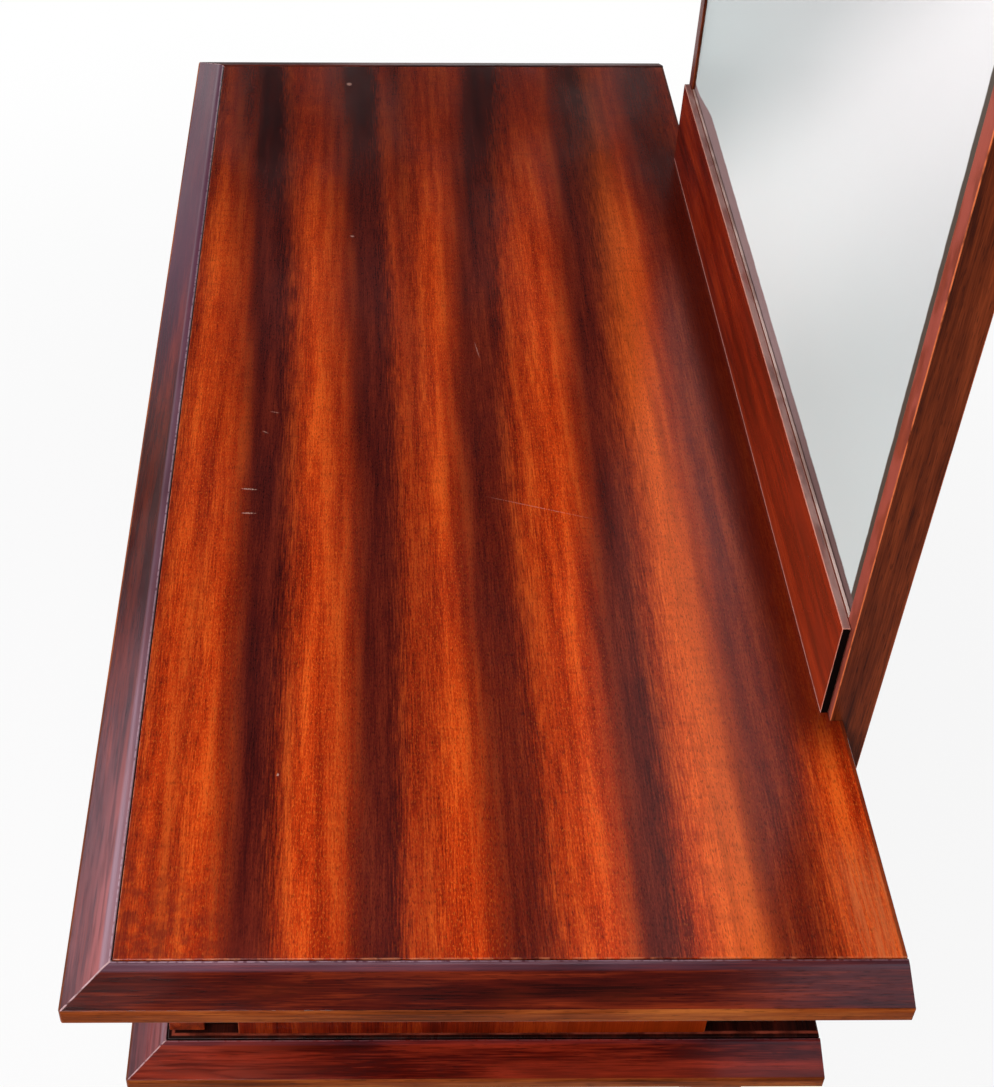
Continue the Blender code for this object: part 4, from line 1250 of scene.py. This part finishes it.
def run_moulding(node, section, start, end, outward, mitres, grain):
    """Make one moulding with the tree and put it in place of its solid."""
    ring = [(i, (i + 1) % len(section)) for i in range(len(section))]
    piece = point_piece("finished_" + node, [(out, depth, 0) for out, depth in section], ring)
    slab, side = node.split("_")[:2]
    apply_tree(piece, run_tree, run_inputs, {
        "Start": start,
        "End": end,
        "Outward": outward,
        "Start Mitre": mitres[0],
        "End Mitre": mitres[1],
        "Finish": moulding_woods[slab, side],
        "Edge From": max(out for out, _ in section) - EDGE_ROUND * EDGE_SHARE,
        "Edge Finish": edge_woods[grain],
    })
    shape = bmesh.new()
    shape.from_mesh(piece.data)
    bmesh.ops.remove_doubles(shape, verts=shape.verts, dist=MITRE_GAP / 10)
    bmesh.ops.recalc_face_normals(shape, faces=shape.faces)
    shape.to_mesh(piece.data)
    shape.free()
    trim_corners(piece, slab)
    smooth(piece)
    install(piece, "table", "mahogany", node)
    low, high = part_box(node)
    points = [vertex.co for vertex in piece.data.vertices]
    return max(max(abs(max(p[i] for p in points) - high[i]), abs(min(p[i] for p in points) - low[i]))
               for i in range(3))


for slab in LIP_WIDTHS:
    panel_low, panel_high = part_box(slab + "_panel")
    width = panel_low.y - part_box(slab + "_front_moulding")[0].y
    thickness = panel_high.z - panel_low.z
    section = moulding_section(slab, width, thickness)
    half = panel_high.x - MITRE_GAP
    front = panel_low.y
    level = panel_high.z
    gaps = [run_moulding(slab + "_front_moulding", section, (-half, front, level), (half, front, level),
                         (0.0, -1.0, 0.0), (1.0, 1.0), "X")]
    gaps.append(run_moulding(slab + "_right_moulding", section, (panel_high.x, front + MITRE_GAP, level),
                             (panel_high.x, panel_high.y, level), (1.0, 0.0, 0.0), (1.0, 0.0), "Y"))
    gaps.append(run_moulding(slab + "_left_moulding", section, (panel_low.x, panel_high.y, level),
                             (panel_low.x, front + MITRE_GAP, level), (-1.0, 0.0, 0.0), (0.0, 1.0), "Y"))
    print(slab, "mouldings differ from the solids by mm:", [round(gap * 1000, 2) for gap in gaps])

# %% [markdown]
# ## The drawer case
# Between the slabs stand the case ends in orange veneer, with dark stiles and posts set in beside them.
# They are flat boards, so the board function does all of them. Boards that hardly show, such as the
# shelf between the drawers, keep their plain solid and only get a finish.

# %% Case boards
CASE_ARRIS = 0.0009
PLAIN_BOARDS = {
    "case_back": stained_board,
    "drawer_shelf": drawer_back_wood,
    "drawer_divider": drawer_side_wood,
}


def dress(node, material):
    """Give a solid that is shown as it is its finish."""
    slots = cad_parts[node].data.materials
    slots.clear()
    slots.append(material)


for side in ("left", "right"):
    fine_board("end_panel_" + side, "Z", end_veneer, "orange_veneer", CASE_ARRIS)
    fine_board("front_stile_" + side, "Z", stained_wood, "dark_stain", CASE_ARRIS)
    fine_board("back_post_" + side, "Z", stained_wood, "dark_stain", CASE_ARRIS)
fine_board("lower_panel", "X", lower_panel_wood, "dark_stain", CASE_ARRIS)
for node, material in PLAIN_BOARDS.items():
    dress(node, material)
print("boards that keep their solids:", list(PLAIN_BOARDS))

# %% [markdown]
# ## Drawer fronts
# A drawer front is a thick board whose border falls away in a shallow bevel. It is lofted through three
# outlines: the back, the edge, and the flat field in front. The box behind it keeps its plain solids,
# because its grooves and joints are already there.

# %% Drawers
DRAWERS = ("long_drawer", "left_drawer", "right_drawer")
FRONT_BEVEL = 0.009
FRONT_BEVEL_DROP = 0.0012
FRONT_ARRIS = 0.0008
FRONT_FOLD = math.radians(12)


def drawer_front(drawer):
    """A drawer front with a bevelled border."""
    low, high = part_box(drawer + "_front")
    rings = []
    for y, inset in ((high.y, 0), (low.y + FRONT_BEVEL_DROP, 0), (low.y, FRONT_BEVEL)):
        outline = corners((low.x + inset, low.z + inset), (high.x - inset, high.z - inset))
        rings.append([(x, y, z) for x, z in outline])
    piece = new_piece("finished_" + drawer + "_front", loft(rings), front_veneer)
    bevel_edges(piece, FRONT_ARRIS, FRONT_FOLD)
    smooth(piece)
    install(piece, drawer, "orange_veneer", drawer + "_front")


for drawer in DRAWERS:
    drawer_front(drawer)
    dress(drawer + "_left_side", drawer_side_wood)
    dress(drawer + "_right_side", drawer_side_wood)
    dress(drawer + "_back", drawer_back_wood)
    dress(drawer + "_bottom", drawer_plywood)
print("drawers:", len(DRAWERS))

# %% [markdown]
# ## Repeating a piece
# Knobs and screws are all alike, so each is modelled once at the origin, and a second small tree stamps
# it on a list of points. Copies could be made in a loop, but a tree keeps the pattern and the places
# apart: change either and the result follows. Realize Instances makes the copies real geometry.

# %% Tree that stamps a piece on points
def stamp_tree():
    """A tree that puts a copy of a pattern on every point."""
    tree = bpy.data.node_groups.new("stamp_on_points", "GeometryNodeTree")
    inputs = add_inputs(tree, ("Places", "NodeSocketGeometry"), ("Pattern", "NodeSocketObject"),
                        ("Finish", "NodeSocketMaterial"))
    tree.interface.new_socket("Copies", in_out="OUTPUT", socket_type="NodeSocketGeometry")
    given = tree.nodes.new("NodeGroupInput").outputs
    pattern = tree.nodes.new("GeometryNodeObjectInfo")
    copies = tree.nodes.new("GeometryNodeInstanceOnPoints")
    real = tree.nodes.new("GeometryNodeRealizeInstances")
    finished = tree.nodes.new("GeometryNodeSetMaterial")
    result = tree.nodes.new("NodeGroupOutput")
    wire(
        tree,
        (given["Pattern"], pattern.inputs["Object"]),
        (given["Places"], copies.inputs["Points"]),
        (pattern.outputs["Geometry"], copies.inputs["Instance"]),
        (copies.outputs["Instances"], real.inputs["Geometry"]),
        (real.outputs["Geometry"], finished.inputs["Geometry"]),
        (given["Finish"], finished.inputs["Material"]),
        (finished.outputs["Geometry"], result.inputs[0]),
    )
    return tree, inputs


stamp, stamp_inputs = stamp_tree()


def stamp_pieces(name, pattern, places, material):
    """One piece that holds a copy of a pattern at every place."""
    piece = point_piece(name, places)
    apply_tree(piece, stamp, stamp_inputs, {"Pattern": pattern, "Finish": material})
    smooth(piece)
    return piece


print("stamp inputs:", list(stamp_inputs))

# %% [markdown]
# ## Knobs
# The brass knobs are turned on a lathe, and so are these: a half profile is spun about the axis that
# points out of the drawer. The profile has a flat foot, a hollow neck and a round head with a small
# bead behind it. Spinning leaves doubled points on the axis and at the seam, so they are merged.

# %% Knobs
TURNED_STEPS = 56
HEAD_STEPS = 14
NECK_STEPS = 10
KNOB_FOOT_RADIUS = 0.0075
KNOB_FOOT_HEIGHT = 0.0022
KNOB_NECK_RADIUS = 0.0044
KNOB_BEAD = 0.0008
KNOB_NECK_SHARE = 0.56
KNOB_FLARE = 2.5
KNOB_COLLAR_SHARE = 0.72
KNOB_MIDDLE_SHARE = 0.36
KNOB_HEAD_START = 35
SAME_POINT = 0.000005
KNOBS = {
    "long_drawer": ("long_drawer_left_knob", "long_drawer_right_knob"),
    "left_drawer": ("left_drawer_knob",),
    "right_drawer": ("right_drawer_knob",),
}


def turned(profile):
    """Spin a profile of radius and distance out about the axis that points to the table's front."""
    shape = bmesh.new()
    points = [shape.verts.new((radius, -out, 0)) for radius, out in profile]
    edges = [shape.edges.new(pair) for pair in zip(points, points[1:])]
    bmesh.ops.spin(shape, geom=points + edges, axis=(0, 1, 0), cent=(0, 0, 0),
                   steps=TURNED_STEPS, angle=math.tau, use_merge=True)
    bmesh.ops.remove_doubles(shape, verts=shape.verts, dist=SAME_POINT)
    return shape


def knob_profile(radius, reach):
    """Half the outline of a knob, from the middle of its foot to the middle of its crown."""
    neck_start = KNOB_FOOT_HEIGHT
    neck_end = reach * KNOB_NECK_SHARE
    profile = [(0, 0), (KNOB_FOOT_RADIUS - KNOB_BEAD / 2, 0), (KNOB_FOOT_RADIUS, KNOB_BEAD / 2)]
    profile.append((KNOB_FOOT_RADIUS, neck_start - KNOB_BEAD / 2))
    for i in range(NECK_STEPS + 1):
        share = i / NECK_STEPS
        flare = abs(2 * share - 1) ** KNOB_FLARE
        widest = KNOB_FOOT_RADIUS - KNOB_BEAD if share < 0.5 else radius * KNOB_COLLAR_SHARE
        profile.append((KNOB_NECK_RADIUS + (widest - KNOB_NECK_RADIUS) * flare,
                        neck_start + (neck_end - neck_start) * share))
    middle = neck_end + (reach - neck_end) * KNOB_MIDDLE_SHARE
    drop = (middle - neck_end) / math.sin(math.radians(KNOB_HEAD_START))
    for i in range(HEAD_STEPS):
        angle = math.radians(-KNOB_HEAD_START + (90 + KNOB_HEAD_START) * i / HEAD_STEPS)
        height = reach - middle if angle > 0 else drop
        profile.append((radius * math.cos(angle), middle + height * math.sin(angle)))
    profile.append((0, reach))
    return profile


def knob_pieces(drawer, *nodes):
    """The knobs of one drawer."""
    boxes = [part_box(node) for node in nodes]
    radius = (boxes[0][1].x - boxes[0][0].x) / 2
    reach = boxes[0][1].y - boxes[0][0].y
    pattern = new_piece(drawer + "_knob_pattern", turned(knob_profile(radius, reach)), brass)
    places = [((low.x + high.x) / 2, high.y, (low.z + high.z) / 2) for low, high in boxes]
    piece = stamp_pieces(drawer + "_brass_knobs", pattern, places, brass)
    bpy.data.objects.remove(pattern)
    install(piece, drawer, "brass", *nodes)


for drawer, nodes in KNOBS.items():
    knob_pieces(drawer, *nodes)
print("knobs:", sum(len(nodes) for nodes in KNOBS.values()))

# %% [markdown]
# ## The mirror's frame
# Two stiles, a top rail and a bottom rail hold the glass. Behind a thin lip each is cut away in a rebate
# that the glass and its backing board drop into from behind. A section could be lofted, but the stiles
# are cut away only above the bottom rail, so it is simpler to make the whole bar and cut the rebate out
# with a Boolean, as a router would. The arris comes after the cut.

# %% Mirror frame
FRAME_ARRIS = 0.0006
CUT_PAST = 0.050
glass_low, glass_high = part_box("mirror_glass")
stile_low, stile_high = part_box("mirror_stile_right")
rebate_low = glass_low - Vector((HAIRLINE, HAIRLINE, HAIRLINE))
rebate_high = Vector((glass_high.x + HAIRLINE, stile_high.y + CUT_PAST, glass_high.z + HAIRLINE))


def cut_rebate(piece):
    """Cut the space for the glass out of one bar of the frame."""
    carve(piece, new_piece("rebate_cutter", block(rebate_low, rebate_high), piece.data.materials[0]))


def finish_bar(piece, node, grain):
    """Cut, ease and install one bar of the frame."""
    cut_rebate(piece)
    round_edges(piece, FRAME_ARRIS)
    mark_sides(piece, grain)
    smooth(piece)
    install(piece, "table", "mahogany", node)


def mirror_stile(side, word):
    """A stile, mitred at its top where the top rail meets it."""
    node = "mirror_stile_" + word
    outline = corners((stile_low.x, stile_low.y), (stile_high.x, stile_high.y))
    low = [(side * x, y, stile_low.z) for x, y in outline]
    high = [(side * x, y, stile_high.z - (stile_high.x - x)) for x, y in outline]
    wood = frame_wood["Z" if side > 0 else "far"]
    finish_bar(new_piece("finished_" + node, loft([low, high]), wood), node, "Z")


def mirror_top_rail():
    """The top rail, mitred into both stiles."""
    low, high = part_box("mirror_top_rail")
    outline = corners((low.y, low.z), (high.y, high.z))
    rings = [[(side * (high.x - (high.z - z)), y, z) for y, z in outline] for side in (-1, 1)]
    finish_bar(new_piece("finished_mirror_top_rail", loft(rings), frame_wood["X"]), "mirror_top_rail", "X")


def mirror_bottom_rail():
    """The rail under the glass."""
    shape = block(*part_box("mirror_bottom_rail"))
    finish_bar(new_piece("finished_mirror_bottom_rail", shape, frame_wood["X"]), "mirror_bottom_rail", "X")


mirror_stile(-1, "left")
mirror_stile(1, "right")
mirror_top_rail()
mirror_bottom_rail()
space = rebate_high - rebate_low
print("space for the glass in mm:", round(space.x * 1000), "by", round(space.z * 1000))

# %% [markdown]
# ## Glass, backing and foot board
# The glass is a plate with ground edges, and behind it lies a thin board. In front of the bottom rail
# stands the foot board, a thin red strip that rests on the top. Its arrises are well worn, and its cut
# ends are nearly black.

# %% Glass, backing and foot board
GLASS_ARRIS = 0.0005
FOOT_BOARD_ARRIS = 0.0006
fine_board("mirror_glass", "Y", mirror_silver, "silvered_glass", GLASS_ARRIS)
fine_board("mirror_backing", "Z", backing_board, "plywood", GLASS_ARRIS)
fine_board("mirror_foot_board", "X", foot_board_wood, "mahogany", FOOT_BOARD_ARRIS, raw_end_wood)
print("glass size in mm:", [round(side * 1000) for side in glass_high - glass_low])

# %% [markdown]
# ## Screws
# Four steel screws hold the stiles to the back of the case. Only their slotted heads show. One head is
# turned, its slot is cut with a Boolean, and the stamp tree sets it in the four places.

# %% Screws
SCREW_NODES = [f"mirror_screw_{level}_{side}" for level in ("lower", "upper") for side in ("left", "right")]
HEAD_RISE = 0.0007
HEAD_RIM = 0.0002
SLOT_WIDTH = 0.0011
SLOT_DEPTH = 0.0006


def screw_head(radius):
    """A low domed head with a slot, facing the back."""
    profile = [(0, SLOT_DEPTH), (radius, SLOT_DEPTH), (radius, -HEAD_RIM)]
    for i in range(1, HEAD_STEPS):
        angle = math.radians(90 * i / HEAD_STEPS)
        profile.append((radius * math.cos(angle), -HEAD_RIM - (HEAD_RISE - HEAD_RIM) * math.sin(angle)))
    profile.append((0, -HEAD_RISE))
    head = new_piece("screw_pattern", turned(profile), steel)
    slot = block((-2 * radius, HEAD_RISE - SLOT_DEPTH, -SLOT_WIDTH / 2),
                 (2 * radius, 2 * HEAD_RISE, SLOT_WIDTH / 2))
    carve(head, new_piece("slot_cutter", slot, steel))
    return head


screw_boxes = [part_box(node) for node in SCREW_NODES]
screw_radius = (screw_boxes[0][1].x - screw_boxes[0][0].x) / 2
screw_pattern = screw_head(screw_radius)
screw_places = [((low.x + high.x) / 2, stile_high.y, (low.z + high.z) / 2) for low, high in screw_boxes]
screws = stamp_pieces("mirror_screws", screw_pattern, screw_places, steel)
bpy.data.objects.remove(screw_pattern)
install(screws, "table", "steel", *SCREW_NODES)
print("screws:", len(screw_places))

# %% [markdown]
# ## Legs and rails
# The legs are square, straight where the rails meet them, and tapered on their two inner faces down to
# brass feet. Their widths are read from the solids at the levels where these change, so the fine legs
# taper exactly as the solids do. The feet are thin brass cups with a soft edge.

# %% Legs, feet and rails
LEG_ARRIS = 0.0020
FOOT_ARRIS = 0.0007
RAIL_ARRIS = 0.0012
LEVEL_SLACK = 0.0012
CUP_WALL = 0.0012


def square_at(node, level):
    """The corners of a solid's outline at a level."""
    points = [v.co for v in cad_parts[node].data.vertices if abs(v.co.z - level) < LEVEL_SLACK]
    low = (min(p.x for p in points), min(p.y for p in points))
    high = (max(p.x for p in points), max(p.y for p in points))
    return [(x, y, level) for x, y in corners(low, high)]


def shoulder_level(node):
    """The level where a leg starts to taper."""
    low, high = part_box(node)
    between = [v.co.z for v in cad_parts[node].data.vertices
               if low.z + LEVEL_SLACK < v.co.z < high.z - LEVEL_SLACK]
    return sum(between) / len(between)


def shrunk(ring, wall):
    """A square ring moved inwards by a wall."""
    middle_x = sum(p[0] for p in ring) / len(ring)
    middle_y = sum(p[1] for p in ring) / len(ring)
    return [(x + math.copysign(wall, middle_x - x), y + math.copysign(wall, middle_y - y), z)
            for x, y, z in ring]


def leg(name):
    """A tapered leg and its brass foot. Returns the level where the taper starts."""
    node = "leg_" + name
    low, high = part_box(node)
    levels = (low.z, shoulder_level(node), high.z)
    piece = new_piece("finished_" + node, loft([square_at(node, z) for z in levels]), leg_wood["Z"])
    round_edges(piece, LEG_ARRIS)
    mark_sides(piece, "Z")
    smooth(piece)
    install(piece, "table", "mahogany", node)

    cup = "ferrule_" + name
    cup_low, cup_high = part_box(cup)
    bottom, rim = square_at(cup, cup_low.z), square_at(cup, cup_high.z)
    inside_rim = shrunk(rim, CUP_WALL)
    inside_floor = [(x, y, low.z - HAIRLINE) for x, y, _ in shrunk(bottom, CUP_WALL)]
    piece = new_piece("finished_" + cup, loft([bottom, rim, inside_rim, inside_floor]), brass)
    round_edges(piece, FOOT_ARRIS)
    smooth(piece)
    install(piece, "table", "brass", cup)
    return levels[1]


shoulders = []
for depth_word in ("front", "back"):
    for side_word in ("left", "right"):
        shoulders.append(leg(depth_word + "_" + side_word))
    fine_board(depth_word + "_rail", "X", leg_wood["X"], "mahogany", RAIL_ARRIS)
for side_word in ("left", "right"):
    fine_board(side_word + "_rail", "Y", leg_wood["Y"], "mahogany", RAIL_ARRIS)
print("legs taper below mm:", [round(height * 1000) for height in shoulders])
